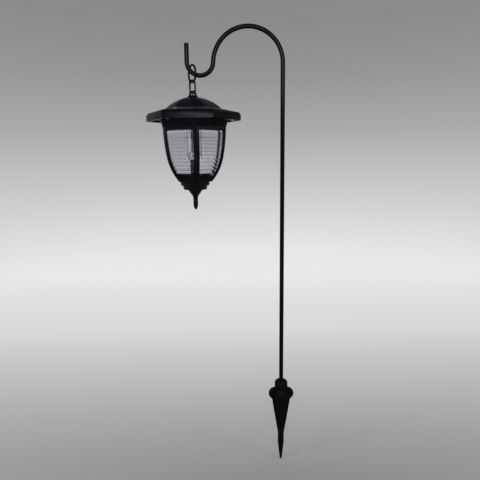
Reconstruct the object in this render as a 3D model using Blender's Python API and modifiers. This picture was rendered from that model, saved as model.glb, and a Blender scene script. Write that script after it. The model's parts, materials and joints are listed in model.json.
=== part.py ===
"""Solar garden light: a hexagonal lantern that hangs by two links from a shepherd's hook on a ground spike.

Metres, +Z up. The origin is on the pole's axis at ground level; the lantern hangs on the -X side.
"""
import math

import bmesh
import bpy
from mathutils import Matrix, Vector

# Clearances
FIT = 0.0003
SLIDE = 0.0005

# Ground spike
SPIKE_DEPTH = 0.104
SPIKE_TIP_RADIUS = 0.0015
SPIKE_POINT = 0.030
SPIKE_WAIST = 0.0094
SPIKE_WAIST_LENGTH = 0.016
SPIKE_SHOULDER = 0.027
SPIKE_LOBE_RADIUS = 0.0103
SPIKE_LOBE_SPAN = 0.0388
SPIKE_FIN = 0.003
SPIKE_CORE = 0.021
SPIKE_LOBE_START = math.radians(-60)
SPIKE_CORE_START = math.radians(60)
COLLAR_DIAMETER = 0.020
COLLAR_TOP = 0.0332
COLLAR_ROUND = 0.0055
SOCKET_DEPTH = 0.0308

# Shepherd's hook
ROD_DIAMETER = 0.00635
POLE_TOP = 0.5043
CROOK_RADIUS = 0.0482
CROOK_SHORT = math.radians(2.4)
CRADLE_RADIUS = 0.0182
TIP_RISE = 0.0245

# Hanging chain: the ring rests on the cradle, HANG_ANGLE round from its lowest point
HANG_ANGLE = math.radians(38.4)
RING_WIRE = 0.0028
RING_ROOM = 0.01185
RING_HEIGHT = 0.0231
RING_LIFT = -0.0004
RING_TURN = math.radians(-58)
LINK_WIRE = 0.0024
LINK_ROOM = 0.0028
LINK_HEIGHT = 0.0177
LOOP_WIRE = 0.0026
LOOP_ROOM = 0.006
LOOP_RISE = 0.0082
LOOP_TURN = math.radians(-30)
LOOP_FLANGE_DIAMETER = 0.015
LOOP_FLANGE = 0.0022
LOOP_SHANK = 0.004
NUT_WIDTH = 0.007
NUT_HEIGHT = 0.0025
SHANK_SPARE = 0.0012

# Roof, as corner radii and heights above the eave's lower edge
LANTERN_TURN = math.radians(-2.2)
EAVE_RADIUS = 0.0672
EAVE_HEIGHT = 0.0107
EAVE_ROUND = 0.0034
DOME_ROOM = 0.01085
BRIM_FALL = math.radians(12.3)
DOME_ROUND = 0.058
LAND_RADIUS = 0.009
ROOF_WALL = 0.0026

# Solar panels, let into the front and back of the brim
PANEL_WIDTH = 0.038
PANEL_LENGTH = 0.016
PANEL_THICKNESS = 0.0013
LEAD_DIAMETER = 0.0012

# Cap base: bottom plate, bayonet neck and its floor
PLATE_RECESS = 0.0022
PLATE_THICKNESS = 0.0022
NECK_RADIUS = 0.0358
NECK_WALL = 0.0022
NECK_DEPTH = 0.0107
FLOOR_THICKNESS = 0.002
LUG_COUNT = 3
LUG_REACH = 0.0025
LUG_WIDTH = 0.009
LUG_THICKNESS = 0.002
NOTCH_SPARE = 0.001
GASKET_WIDTH = 0.004
GASKET_THICKNESS = 0.0012
SCREW_COUNT = 3
SCREW_INSET = 0.0092
SCREW_DIAMETER = 0.003
SCREW_HEAD = 0.0056
SCREW_HEAD_FLAT = 0.0039
SCREW_HEAD_HEIGHT = 0.0016
SCREW_LENGTH = 0.008
BOSS_DIAMETER = 0.0066

# Electrics inside the cap
BOARD_DIAMETER = 0.054
BOARD_THICKNESS = 0.0016
BOARD_LIFT = 0.0065
STANDOFF_COUNT = 3
STANDOFF_DIAMETER = 0.005
STANDOFF_RADIUS = 0.0225
LED_DIAMETER = 0.005
LED_RIM = 0.0058
LED_RIM_HEIGHT = 0.001
LED_LENGTH = 0.0105
SWITCH_LENGTH = 0.009
SWITCH_WIDTH = 0.005
SWITCH_HEIGHT = 0.0045
SWITCH_OFFSET = 0.0215
SLIDER_LENGTH = 0.0024
SLIDER_WIDTH = 0.0018
SLIDER_PROUD = 0.0022
SWITCH_TRAVEL = 0.003
CELL_DIAMETER = 0.0145
CELL_LENGTH = 0.0505
CELL_NUB = 0.0055
CELL_NUB_LENGTH = 0.001
TRAY_WALL = 0.0015
TRAY_SIDE_HEIGHT = 0.0068
TRAY_FOOT = 0.005
SPRING_TURNS = 4
SPRING_WIRE = 0.0007
SPRING_WIDTH = 0.008
SPRING_LENGTH = 0.0056
CONTACT_MARGIN = 0.00075
CONTACT_THICKNESS = 0.0006

# Clear light tube and the flared lens in its lower end
TUBE_DIAMETER = 0.022
TUBE_WALL = 0.0016
TUBE_LENGTH = 0.0388
TUBE_GRIP = 0.0055
SPIGOT_WALL = 0.002
LENS_DIAMETER = 0.024
LENS_HEIGHT = 0.0056
LENS_PLUG = 0.0034
LENS_DISH = 0.0017
LENS_FLARE_TOP = 0.0025
LENS_FLARE_FOOT = 0.0036

# Lantern body, as corner radii and depths below the eave's lower edge
BODY_TURN = math.radians(-18.2)
CAGE_COLLAR_TOP_RADIUS = 0.0526
CAGE_COLLAR_FOOT_RADIUS = 0.0501
CAGE_COLLAR_FOOT = 0.0091
CAGE_FLANGE = 0.0025
SHOULDER_RADIUS = 0.0495
UPPER_ROUND = 0.222
UPPER_TOP = 0.005
BREAK_DEPTH = 0.0491
LOWER_ROUND = 0.072
WINDOW_TOP = 0.013
WINDOW_FOOT = 0.0771
CAGE_FOOT = 0.0842
CAGE_WALL = 0.0018
CAGE_FLOOR = 0.0022
RIB_WIDTH = 0.0092
PANE_THICKNESS = 0.0016
PANE_INSET = 0.0016
PANE_ROWS = 14

# Base tiers and finial
TIER_1_RADIUS = 0.0208
TIER_1_HEIGHT = 0.0058
TIER_2_RADIUS = 0.0172
TIER_2_HEIGHT = 0.0056
TIER_TAPER = 0.0014
TIER_WALL = 0.0025
STUD_DIAMETER = 0.004
FINIAL_FLARE = 0.0098
FINIAL_LIP = 0.0009
FINIAL_FLARE_HEIGHT = 0.0078
FINIAL_NECK = 0.0049
FINIAL_NECK_LENGTH = 0.0086
FINIAL_WAIST = 0.003
FINIAL_BEAD = 0.0034
FINIAL_BEAD_LENGTH = 0.0124

# How finely round things are faceted
ROUND_STEPS = 32
NECK_STEPS = 48
MEDIUM_STEPS = 24
SMALL_STEPS = 16
CROOK_STEPS = 24
CRADLE_STEPS = 20
BEND_STEPS = 10
CORNER_STEPS = 4
DOME_STEPS = 9
BELL_STEPS = 14
WINDOW_STEPS = 12
SPRING_STEPS = 10
ROD_RESOLUTION = 4
WIRE_RESOLUTION = 2
SPRING_RESOLUTION = 1
SHARP_EDGE = math.radians(35)
WELD = 0.000001
HEX = 6
COS30 = math.cos(math.radians(30))
TAN30 = math.tan(math.radians(30))
CUT_SPARE = 0.002

COLLECTION = "solar_garden_light"
CUTTERS = "cutters"


def start_clean():
    """Empty the scene and make the two collections."""
    for obj in list(bpy.data.objects):
        bpy.data.objects.remove(obj)
    for name in (COLLECTION, CUTTERS):
        old = bpy.data.collections.get(name)
        if old:
            bpy.data.collections.remove(old)
        bpy.context.scene.collection.children.link(bpy.data.collections.new(name))


def finish(name, colour, roughness, metallic=0.0, alpha=1.0):
    """A Principled material; a second call with the same name gives the same material."""
    material = bpy.data.materials.get(name)
    if material is None:
        material = bpy.data.materials.new(name)
        material.use_nodes = True
        shader = material.node_tree.nodes["Principled BSDF"]
        shader.inputs["Base Color"].default_value = (*colour, 1.0)
        shader.inputs["Roughness"].default_value = roughness
        shader.inputs["Metallic"].default_value = metallic
        shader.inputs["Alpha"].default_value = alpha
        material.diffuse_color = (*colour, alpha)
    return material


def black_paint():
    return finish("black_paint", (0.012, 0.012, 0.014), 0.35)


def black_plastic():
    return finish("black_plastic", (0.015, 0.015, 0.018), 0.42)


def bright_metal():
    return finish("bright_metal", (0.62, 0.62, 0.60), 0.3, 1.0)


def clear_plastic():
    return finish("clear_plastic", (0.82, 0.84, 0.86), 0.08, 0.0, 0.35)


def add_empty(name, location, turn=0.0, parent=None):
    """An empty that carries pieces; location is in its parent's frame."""
    empty = bpy.data.objects.new(name, None)
    empty.location = location
    empty.rotation_euler = (0.0, 0.0, turn)
    empty.parent = parent
    bpy.data.collections[COLLECTION].objects.link(empty)
    return empty


def add_object(name, data, material=None, parent=None, location=(0, 0, 0), rotation=(0, 0, 0)):
    """Put mesh or curve data in the scene as a part, or as a cutter where it has no material."""
    obj = bpy.data.objects.new(name, data)
    obj.location = location
    obj.rotation_euler = rotation
    obj.parent = parent
    if material:
        data.materials.append(material)
        bpy.data.collections[COLLECTION].objects.link(obj)
    else:
        bpy.data.collections[CUTTERS].objects.link(obj)
        obj.hide_render = True
        obj.display_type = "WIRE"
    return obj


def turned(name, profile, material=None, parent=None, steps=ROUND_STEPS, **place):
    """Turn a profile of (radius, height) points about Z.

    The profile runs down its outer side. It is closed, unless both ends lie on the axis.
    """
    mesh = bpy.data.meshes.new(name)
    count = len(profile)
    edges = [(k, k + 1) for k in range(count - 1)]
    if profile[0][0] > 0 or profile[-1][0] > 0:
        edges.append((count - 1, 0))
    mesh.from_pydata([(r, 0.0, z) for r, z in profile], edges, [])
    obj = add_object(name, mesh, material, parent, **place)
    screw = obj.modifiers.new("turn", "SCREW")
    screw.axis = "Z"
    screw.steps = steps
    screw.render_steps = steps
    screw.use_merge_vertices = True
    screw.merge_threshold = WELD
    screw.use_smooth_shade = steps > HEX
    return obj


def disc(name, radius, low, high, material=None, parent=None, steps=ROUND_STEPS, **place):
    """A plain cylinder between two heights, with its first corner on +X as on a turned piece."""
    mesh = bpy.data.meshes.new(name)
    bm = bmesh.new()
    size = {"radius1": radius, "radius2": radius, "depth": high - low}
    bmesh.ops.create_cone(bm, cap_ends=True, segments=steps, **size)
    bmesh.ops.rotate(bm, verts=bm.verts, matrix=Matrix.Rotation(-math.pi / 2, 3, "Z"))
    bmesh.ops.translate(bm, verts=bm.verts, vec=(0, 0, (low + high) / 2))
    bm.to_mesh(mesh)
    bm.free()
    if steps > HEX:
        mesh.shade_smooth()
        mesh.set_sharp_from_angle(angle=SHARP_EDGE)
    return add_object(name, mesh, material, parent, **place)


def block(name, size, centre, material=None, parent=None, **place):
    """A box of the given size about a centre."""
    mesh = bpy.data.meshes.new(name)
    bm = bmesh.new()
    bmesh.ops.create_cube(bm, size=1.0)
    bmesh.ops.scale(bm, verts=bm.verts, vec=size)
    bmesh.ops.translate(bm, verts=bm.verts, vec=centre)
    bm.to_mesh(mesh)
    bm.free()
    return add_object(name, mesh, material, parent, **place)


def tube(
    name, points, diameter, material=None, parent=None, closed=False, resolution=WIRE_RESOLUTION, **place
):
    """A wire along a polyline, with filled caps unless it is a closed loop."""
    curve = bpy.data.curves.new(name, "CURVE")
    curve.dimensions = "3D"
    curve.bevel_depth = diameter / 2
    curve.bevel_resolution = resolution
    curve.use_fill_caps = not closed
    spline = curve.splines.new("POLY")
    spline.points.add(len(points) - 1)
    for spot, point in zip(spline.points, points):
        spot.co = (*point, 1.0)
    spline.use_cyclic_u = closed
    spline.use_smooth = True
    return add_object(name, curve, material, parent, **place)


def plate(name, outline, thickness, material=None, parent=None, **place):
    """A flat outline of (x, z) points, extruded evenly to both sides of its own XZ plane."""
    curve = bpy.data.curves.new(name, "CURVE")
    curve.dimensions = "2D"
    curve.fill_mode = "BOTH"
    curve.extrude = thickness / 2
    spline = curve.splines.new("POLY")
    spline.points.add(len(outline) - 1)
    for spot, (x, z) in zip(spline.points, outline):
        spot.co = (x, z, 0.0, 1.0)
    spline.use_cyclic_u = True
    flat = add_object(name, curve, material, parent, **place)
    obj = as_mesh(flat)
    for vertex in obj.data.vertices:
        x, y, z = vertex.co
        vertex.co = (x, -z, y)
    return obj


def as_mesh(flat):
    """Swap a curve object for a closed mesh object of the same name and place."""
    bpy.context.view_layer.update()
    graph = bpy.context.evaluated_depsgraph_get()
    mesh = bpy.data.meshes.new_from_object(flat.evaluated_get(graph))
    bm = bmesh.new()
    bm.from_mesh(mesh)
    bmesh.ops.remove_doubles(bm, verts=bm.verts, dist=WELD)
    bmesh.ops.recalc_face_normals(bm, faces=bm.faces)
    bm.to_mesh(mesh)
    bm.free()
    name = flat.name
    curve = flat.data
    obj = bpy.data.objects.new(name, mesh)
    obj.parent = flat.parent
    obj.location = flat.location
    obj.rotation_euler = flat.rotation_euler
    obj.hide_render = flat.hide_render
    obj.display_type = flat.display_type
    for collection in list(flat.users_collection):
        collection.objects.link(obj)
    bpy.data.objects.remove(flat)
    bpy.data.curves.remove(curve)
    obj.name = name
    return obj


def boolean(target, tool, operation):
    step = target.modifiers.new(operation.lower(), "BOOLEAN")
    step.operation = operation
    step.object = tool
    return target


def cut(target, *tools):
    for tool in tools:
        boolean(target, tool, "DIFFERENCE")


def join(target, *tools):
    for tool in tools:
        boolean(target, tool, "UNION")


def arc(centre, radius, start, stop, count, rise=None):
    """Points on an arc, both ends included, as (x, z); with a rise it is an oval of that half height."""
    height = rise or radius
    angles = [start + (stop - start) * k / count for k in range(count + 1)]
    return [(centre[0] + radius * math.cos(a), centre[1] + height * math.sin(a)) for a in angles]


def oval(width, height, count=BEND_STEPS):
    """A closed link's centre line in XZ, about the centre of its upper half circle."""
    radius = width / 2
    upper = arc((0, 0), radius, 0, math.pi, count)
    lower = arc((0, width - height), radius, math.pi, 2 * math.pi, count)
    return [(x, 0.0, z) for x, z in upper + lower]


def ring_of(count, offset=0.0):
    """Angles evenly round a circle."""
    return [offset + 2 * math.pi * k / count for k in range(count)]


def on_circle(radius, angle):
    return (radius * math.cos(angle), radius * math.sin(angle), 0.0)


# Places that several pieces share, worked out from the sizes above

CROOK_CENTRE = (-CROOK_RADIUS, POLE_TOP)
CRADLE_CENTRE = (
    CROOK_CENTRE[0] - (CROOK_RADIUS + CRADLE_RADIUS) * math.cos(CROOK_SHORT),
    CROOK_CENTRE[1] + (CROOK_RADIUS + CRADLE_RADIUS) * math.sin(CROOK_SHORT),
)
HANG_X = CRADLE_CENTRE[0] - CRADLE_RADIUS * math.sin(HANG_ANGLE)
HANG_Z = CRADLE_CENTRE[1] - CRADLE_RADIUS * math.cos(HANG_ANGLE)
RING_WIDTH = ROD_DIAMETER + RING_WIRE + RING_ROOM
LINK_WIDTH = RING_WIRE + LINK_WIRE + LINK_ROOM
LOOP_WIDTH = LINK_WIRE + LOOP_WIRE + LOOP_ROOM
RING_FOOT_Z = HANG_Z + RING_LIFT + RING_WIDTH / 2 - RING_HEIGHT
LINK_SEAT = (RING_WIRE + LINK_WIRE) / 2 + FIT
LINK_FOOT_Z = RING_FOOT_Z + LINK_SEAT - LINK_HEIGHT
LOOP_SEAT = (LINK_WIRE + LOOP_WIRE) / 2 + FIT

TRAY_INSIDE = CELL_LENGTH + CELL_NUB_LENGTH + SPRING_LENGTH + CONTACT_THICKNESS + 4 * FIT
DOME_FOOT = TRAY_INSIDE / 2 + DOME_ROOM
BRIM_SLOPE = math.tan(BRIM_FALL)


def brim_height(radius):
    """Height of the brim's upper face above the eave, at a corner radius."""
    return EAVE_HEIGHT + (EAVE_RADIUS - radius) * BRIM_SLOPE


DOME_CENTRE = brim_height(DOME_FOOT) - math.sqrt(DOME_ROUND ** 2 - DOME_FOOT ** 2)
LAND_HEIGHT = DOME_CENTRE + math.sqrt(DOME_ROUND ** 2 - LAND_RADIUS ** 2)
LAND_UNDERSIDE = LAND_HEIGHT - ROOF_WALL
EAVE_Z = LINK_FOOT_Z + LOOP_SEAT - LOOP_RISE - LAND_HEIGHT

EAVE_INNER = EAVE_RADIUS - ROOF_WALL / COS30
SCREW_RADIUS = EAVE_INNER - SCREW_INSET
PLATE_TOP = PLATE_RECESS + PLATE_THICKNESS
NECK_FOOT = PLATE_RECESS - NECK_DEPTH
NECK_FLOOR_TOP = NECK_FOOT + FLOOR_THICKNESS
GASKET_TOP = PLATE_RECESS - FIT
CAGE_TOP = GASKET_TOP - GASKET_THICKNESS - FIT
FLANGE_FOOT = CAGE_TOP - CAGE_FLANGE
LUG_TOP = FLANGE_FOOT - FIT
LUG_FOOT = LUG_TOP - LUG_THICKNESS
FLANGE_HOLE = NECK_RADIUS + SLIDE
BOARD_FOOT = NECK_FLOOR_TOP + BOARD_LIFT
BOARD_TOP = BOARD_FOOT + BOARD_THICKNESS
TUBE_TOP = NECK_FOOT - FIT
TUBE_FOOT = TUBE_TOP - TUBE_LENGTH
SPIGOT_RADIUS = TUBE_DIAMETER / 2 - TUBE_WALL - FIT


def body_radius(depth):
    """Corner radius of the cage's outer face at a depth below the eave: two arcs that meet tangentially."""
    if depth <= UPPER_TOP:
        return SHOULDER_RADIUS
    if depth <= BREAK_DEPTH:
        return SHOULDER_RADIUS - UPPER_ROUND + math.sqrt(UPPER_ROUND ** 2 - (depth - UPPER_TOP) ** 2)
    lean = math.asin((BREAK_DEPTH - UPPER_TOP) / UPPER_ROUND)
    start = SHOULDER_RADIUS - UPPER_ROUND * (1 - math.cos(lean))
    centre_r = start - LOWER_ROUND * math.cos(lean)
    centre_depth = BREAK_DEPTH - LOWER_ROUND * math.sin(lean)
    return centre_r + math.sqrt(LOWER_ROUND ** 2 - (depth - centre_depth) ** 2)


def depths(start, stop, count):
    return [start + (stop - start) * k / count for k in range(count + 1)]


# Stand

def hook_line():
    """Centre line of the rod from its foot in the socket to the tip of the cradle."""
    foot = COLLAR_TOP - SOCKET_DEPTH + FIT
    crook = arc(CROOK_CENTRE, CROOK_RADIUS, 0, math.pi - CROOK_SHORT, CROOK_STEPS)
    cradle = arc(CRADLE_CENTRE, CRADLE_RADIUS, -CROOK_SHORT, -math.pi, CRADLE_STEPS)
    tip = (CRADLE_CENTRE[0] - CRADLE_RADIUS, CRADLE_CENTRE[1] + TIP_RISE)
    line = [(0.0, foot)] + crook + cradle[1:] + [tip]
    return [(x, 0.0, z) for x, z in line]


def make_hook():
    tube("shepherd_hook", hook_line(), ROD_DIAMETER, black_paint(), resolution=ROD_RESOLUTION)


def fin_outline(lobed):
    """Half outline of a spike fin from its tip up, mirrored; the wide pair carries the round lobes."""
    waist = SPIKE_WAIST / 2
    point_top = SPIKE_POINT - SPIKE_DEPTH
    half = [
        (SPIKE_TIP_RADIUS, -SPIKE_DEPTH),
        (waist, point_top),
        (waist, point_top + SPIKE_WAIST_LENGTH),
    ]
    lobe = SPIKE_LOBE_RADIUS
    lobe_x = SPIKE_LOBE_SPAN / 2 - lobe
    if lobed:
        half += arc((lobe_x, lobe), lobe, SPIKE_LOBE_START, math.pi / 2, BEND_STEPS)
    else:
        half += [(SPIKE_SHOULDER / 2, 0.0), (SPIKE_CORE / 2, lobe)]
    return half + [(-x, z) for x, z in reversed(half)]


def make_spike():
    plastic = black_plastic()
    radius = COLLAR_DIAMETER / 2
    lobe_top = 2 * SPIKE_LOBE_RADIUS
    waist_top = SPIKE_POINT + SPIKE_WAIST_LENGTH - SPIKE_DEPTH
    crown_centre = (radius - COLLAR_ROUND, COLLAR_TOP - COLLAR_ROUND)
    crown = arc(crown_centre, COLLAR_ROUND, math.pi / 2, 0, CORNER_STEPS)
    shoulder = arc((0.0, SPIKE_LOBE_RADIUS), SPIKE_CORE / 2, SPIKE_CORE_START, 0, CORNER_STEPS)
    profile = [(0.0, COLLAR_TOP)] + crown + [(radius, lobe_top)] + shoulder
    profile += [(SPIKE_FIN, waist_top), (0.0, waist_top)]
    spike = turned("ground_spike", profile, plastic)
    wide = plate("wide_fins", fin_outline(True), SPIKE_FIN)
    cross = plate("cross_fins", fin_outline(False), SPIKE_FIN, rotation=(0, 0, math.pi / 2))
    join(spike, wide, cross)
    socket_foot = COLLAR_TOP - SOCKET_DEPTH
    socket = disc("rod_socket", ROD_DIAMETER / 2 + FIT, socket_foot, COLLAR_TOP + CUT_SPARE)
    cut(spike, socket)


# Hanging chain

def make_chain():
    tube(
        "hook_ring",
        [(x, y, z + RING_LIFT) for x, y, z in oval(RING_WIDTH, RING_HEIGHT)],
        RING_WIRE,
        black_paint(),
        closed=True,
        location=(HANG_X, 0.0, HANG_Z),
        rotation=(0.0, 0.0, RING_TURN),
    )
    top = LINK_SEAT - LINK_WIDTH / 2
    tube(
        "chain_link",
        [(x, y, z + top) for x, y, z in oval(LINK_WIDTH, LINK_HEIGHT)],
        LINK_WIRE,
        black_paint(),
        closed=True,
        location=(HANG_X, 0.0, RING_FOOT_Z),
        rotation=(0.0, 0.0, RING_TURN + math.pi / 2),
    )


def make_hanging_loop(lantern):
    """Inverted U on a flange, with a shank through the roof and a nut under it."""
    half = LOOP_WIDTH / 2
    foot = LAND_HEIGHT + FIT
    bend = arc((0.0, LAND_HEIGHT + LOOP_RISE - half), half, 0, math.pi, BEND_STEPS)
    sunk = foot + LOOP_FLANGE / 2
    line = [(half, sunk)] + bend + [(-half, sunk)]
    points = [(x, 0.0, z) for x, z in line]
    bow = as_mesh(tube("loop_bow", points, LOOP_WIRE, parent=lantern, rotation=(0.0, 0.0, LOOP_TURN)))
    radius = LOOP_FLANGE_DIAMETER / 2
    shank = LOOP_SHANK / 2
    shank_foot = LAND_UNDERSIDE - FIT - NUT_HEIGHT - SHANK_SPARE
    profile = [
        (0.0, foot + LOOP_FLANGE),
        (radius - LOOP_FLANGE / 2, foot + LOOP_FLANGE),
        (radius, foot + LOOP_FLANGE / 2),
        (radius, foot),
        (shank, foot),
        (shank, shank_foot),
        (0.0, shank_foot),
    ]
    loop = turned("hanging_loop", profile, black_paint(), lantern, steps=MEDIUM_STEPS)
    join(loop, bow)
    make_nut("loop_nut", LAND_UNDERSIDE - FIT, LOOP_SHANK, lantern)


def make_nut(name, top, bore, parent):
    """A hexagon nut below a height, on a stud of the given diameter."""
    foot = top - NUT_HEIGHT
    nut = disc(name, NUT_WIDTH / 2 / COS30, foot, top, bright_metal(), parent, steps=HEX)
    radius = bore / 2 + FIT
    hole = disc(name + "_bore", radius, foot - CUT_SPARE, top + CUT_SPARE, parent=parent, steps=SMALL_STEPS)
    cut(nut, hole)


# Cap

def roof_profile():
    """Closed wall section of the roof: down the dome and brim to the eave, then back up inside."""
    corner = EAVE_ROUND * math.tan((math.pi / 2 - BRIM_FALL) / 2)
    corner_centre = (EAVE_RADIUS - EAVE_ROUND, EAVE_HEIGHT - corner)
    dome_top = math.acos(LAND_RADIUS / DOME_ROUND)
    dome_foot = math.acos(DOME_FOOT / DOME_ROUND)
    dome = arc((0.0, DOME_CENTRE), DOME_ROUND, dome_top, dome_foot, DOME_STEPS)
    eave = arc(corner_centre, EAVE_ROUND, math.pi / 2 - BRIM_FALL, 0, CORNER_STEPS)
    inner_round = DOME_ROUND - ROOF_WALL
    inner_foot = DOME_FOOT - ROOF_WALL
    inner_top = math.acos(LAND_RADIUS / inner_round)
    inner_low = math.acos(inner_foot / inner_round)
    inner_dome = arc((0.0, DOME_CENTRE), inner_round, inner_low, inner_top, DOME_STEPS)
    shank = LOOP_SHANK / 4
    outer = [(shank, LAND_HEIGHT)] + dome + eave + [(EAVE_RADIUS, 0.0)]
    brim_under = brim_height(EAVE_INNER) - ROOF_WALL
    inner = [(EAVE_INNER, 0.0), (EAVE_INNER, brim_under)] + inner_dome + [(shank, LAND_UNDERSIDE)]
    return outer + inner


def panel_place(side):
    """Centre of a panel on the brim and its tilt; side is -1 at the front and 1 at the back."""
    inner = DOME_FOOT * COS30
    outer = (EAVE_RADIUS - EAVE_ROUND) * COS30
    reach = (inner + outer) / 2
    height = brim_height(reach / COS30)
    tilt = math.atan(BRIM_SLOPE / COS30)
    return Vector((0.0, side * reach, height)), -side * tilt


def make_roof(lantern):
    roof = turned("roof_shell", roof_profile(), black_paint(), lantern, steps=HEX)
    boss_low = PLATE_TOP + FIT
    boss_top = brim_height(SCREW_RADIUS) - ROOF_WALL / 2
    pilot_end = GASKET_TOP + SCREW_LENGTH + FIT
    pilot_radius = SCREW_DIAMETER / 2 + FIT
    for k, angle in enumerate(ring_of(SCREW_COUNT), start=1):
        place = {"parent": lantern, "steps": SMALL_STEPS, "location": on_circle(SCREW_RADIUS, angle)}
        join(roof, disc(f"screw_boss_{k}", BOSS_DIAMETER / 2, boss_low, boss_top, **place))
        cut(roof, disc(f"screw_pilot_{k}", pilot_radius, PLATE_TOP, pilot_end, **place))
    hole_low = LAND_UNDERSIDE - CUT_SPARE
    hole_top = LAND_HEIGHT + CUT_SPARE
    cut(roof, disc("loop_hole", LOOP_SHANK / 2 + FIT, hole_low, hole_top, parent=lantern))
    for side, name in ((-1, "front"), (1, "back")):
        make_panel(name, side, roof, lantern)


def make_panel(name, side, roof, lantern):
    """A solar panel in its pocket in the brim, with its lead through the pocket's floor to the board."""
    centre, tilt = panel_place(side)
    seat = (tilt, 0.0, 0.0)
    middle = (0, 0, 0)
    size = (PANEL_WIDTH + 2 * FIT, PANEL_LENGTH + 2 * FIT, 2 * PANEL_THICKNESS)
    pocket = block(f"panel_pocket_{name}", size, middle, parent=lantern, location=centre, rotation=seat)
    place = {"parent": lantern, "steps": SMALL_STEPS, "location": centre}
    bore = disc(f"lead_hole_{name}", LEAD_DIAMETER / 2 + FIT, -2 * ROOF_WALL, ROOF_WALL, **place)
    cut(roof, pocket, bore)
    cells = finish("solar_cells", (0.02, 0.03, 0.09), 0.15)
    block(
        f"solar_panel_{name}",
        (PANEL_WIDTH, PANEL_LENGTH, PANEL_THICKNESS),
        (0, 0, FIT - PANEL_THICKNESS / 2),
        cells,
        lantern,
        location=centre,
        rotation=seat,
    )
    drop = centre.z - PANEL_THICKNESS - 2 * FIT
    landing = BOARD_DIAMETER / 2 - LEAD_DIAMETER
    above_plate = PLATE_TOP + LEAD_DIAMETER
    line = [
        (0.0, centre.y, drop),
        (0.0, centre.y, drop - ROOF_WALL - LEAD_DIAMETER),
        (0.0, side * (NECK_RADIUS + LEAD_DIAMETER), above_plate),
        (0.0, side * (landing + LEAD_DIAMETER), above_plate - LEAD_DIAMETER / 2),
        (0.0, side * landing, BOARD_TOP + FIT + LEAD_DIAMETER),
        (0.0, side * landing, BOARD_TOP + FIT),
    ]
    tube(f"panel_lead_{name}", line, LEAD_DIAMETER, finish("red_lead", (0.5, 0.02, 0.02), 0.5), lantern)


def make_cap_base(lantern):
    """Bottom plate with the bayonet neck, its floor, the tube's spigot and the board's standoffs."""
    plastic = black_plastic()
    plate_radius = EAVE_INNER - FIT / COS30
    inner = NECK_RADIUS - NECK_WALL
    base = disc("cap_base", plate_radius, PLATE_RECESS, PLATE_TOP, plastic, lantern, steps=HEX)
    spigot_inner = SPIGOT_RADIUS - SPIGOT_WALL
    lamp_hole = LED_RIM / 2 + FIT
    neck_profile = [
        (NECK_RADIUS, PLATE_TOP - PLATE_THICKNESS / 2),
        (NECK_RADIUS, NECK_FOOT),
        (SPIGOT_RADIUS, NECK_FOOT),
        (SPIGOT_RADIUS, NECK_FOOT - TUBE_GRIP),
        (spigot_inner, NECK_FOOT - TUBE_GRIP),
        (spigot_inner, NECK_FOOT),
        (lamp_hole, NECK_FOOT),
        (lamp_hole, NECK_FLOOR_TOP),
        (inner, NECK_FLOOR_TOP),
        (inner, PLATE_TOP - PLATE_THICKNESS / 2),
    ]
    neck = turned("cap_neck", neck_profile, parent=lantern, steps=NECK_STEPS)
    through = (PLATE_RECESS - CUT_SPARE, PLATE_TOP + CUT_SPARE)
    mouth = disc("neck_mouth", inner, *through, parent=lantern, steps=NECK_STEPS)
    cut(base, mouth)
    join(base, neck)
    for k, angle in enumerate(ring_of(LUG_COUNT, math.pi / 2)):
        reach = NECK_WALL / 2 + LUG_REACH
        middle = NECK_RADIUS + LUG_REACH - reach / 2
        lug = block(
            f"bayonet_lug_{k + 1}",
            (reach, LUG_WIDTH, LUG_THICKNESS),
            (middle, 0.0, (LUG_TOP + LUG_FOOT) / 2),
            parent=lantern,
            rotation=(0, 0, angle),
        )
        join(base, lug)
    post_low = NECK_FLOOR_TOP - FLOOR_THICKNESS / 2
    post_top = BOARD_FOOT - FIT
    for k, angle in enumerate(ring_of(STANDOFF_COUNT, math.pi / 2), start=1):
        place = {"parent": lantern, "steps": SMALL_STEPS, "location": on_circle(STANDOFF_RADIUS, angle)}
        join(base, disc(f"board_standoff_{k}", STANDOFF_DIAMETER / 2, post_low, post_top, **place))
    for k, angle in enumerate(ring_of(SCREW_COUNT), start=1):
        spot = on_circle(SCREW_RADIUS, angle)
        place = {"parent": lantern, "steps": SMALL_STEPS, "location": spot}
        cut(base, disc(f"screw_hole_{k}", SCREW_DIAMETER / 2 + FIT, *through, **place))
        make_base_screw(k, spot, lantern)
    slot_length = SLIDER_LENGTH + SWITCH_TRAVEL + 2 * SLIDE
    slot = block(
        "switch_slot",
        (slot_length, SLIDER_WIDTH + 2 * SLIDE, 2 * FLOOR_THICKNESS),
        (SWITCH_TRAVEL / 2, -SWITCH_OFFSET, NECK_FOOT + FLOOR_THICKNESS / 2),
        parent=lantern,
    )
    cut(base, slot)
    gasket_inner = NECK_RADIUS + FIT
    gasket_profile = [
        (gasket_inner + GASKET_WIDTH, GASKET_TOP),
        (gasket_inner + GASKET_WIDTH, GASKET_TOP - GASKET_THICKNESS),
        (gasket_inner, GASKET_TOP - GASKET_THICKNESS),
        (gasket_inner, GASKET_TOP),
    ]
    rubber = finish("soft_rubber", (0.03, 0.03, 0.03), 0.8)
    turned("neck_gasket", gasket_profile, rubber, lantern, steps=NECK_STEPS)


def make_base_screw(number, spot, lantern):
    """A pan-head screw up through the plate into its boss."""
    head = SCREW_HEAD / 2
    shank = SCREW_DIAMETER / 2
    under = GASKET_TOP
    profile = [
        (0.0, under + SCREW_LENGTH),
        (shank, under + SCREW_LENGTH - shank),
        (shank, under),
        (head, under),
        (head, under - SCREW_HEAD_HEIGHT / 2),
        (SCREW_HEAD_FLAT / 2, under - SCREW_HEAD_HEIGHT),
        (0.0, under - SCREW_HEAD_HEIGHT),
    ]
    turned(f"base_screw_{number}", profile, bright_metal(), lantern, steps=SMALL_STEPS, location=spot)


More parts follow.
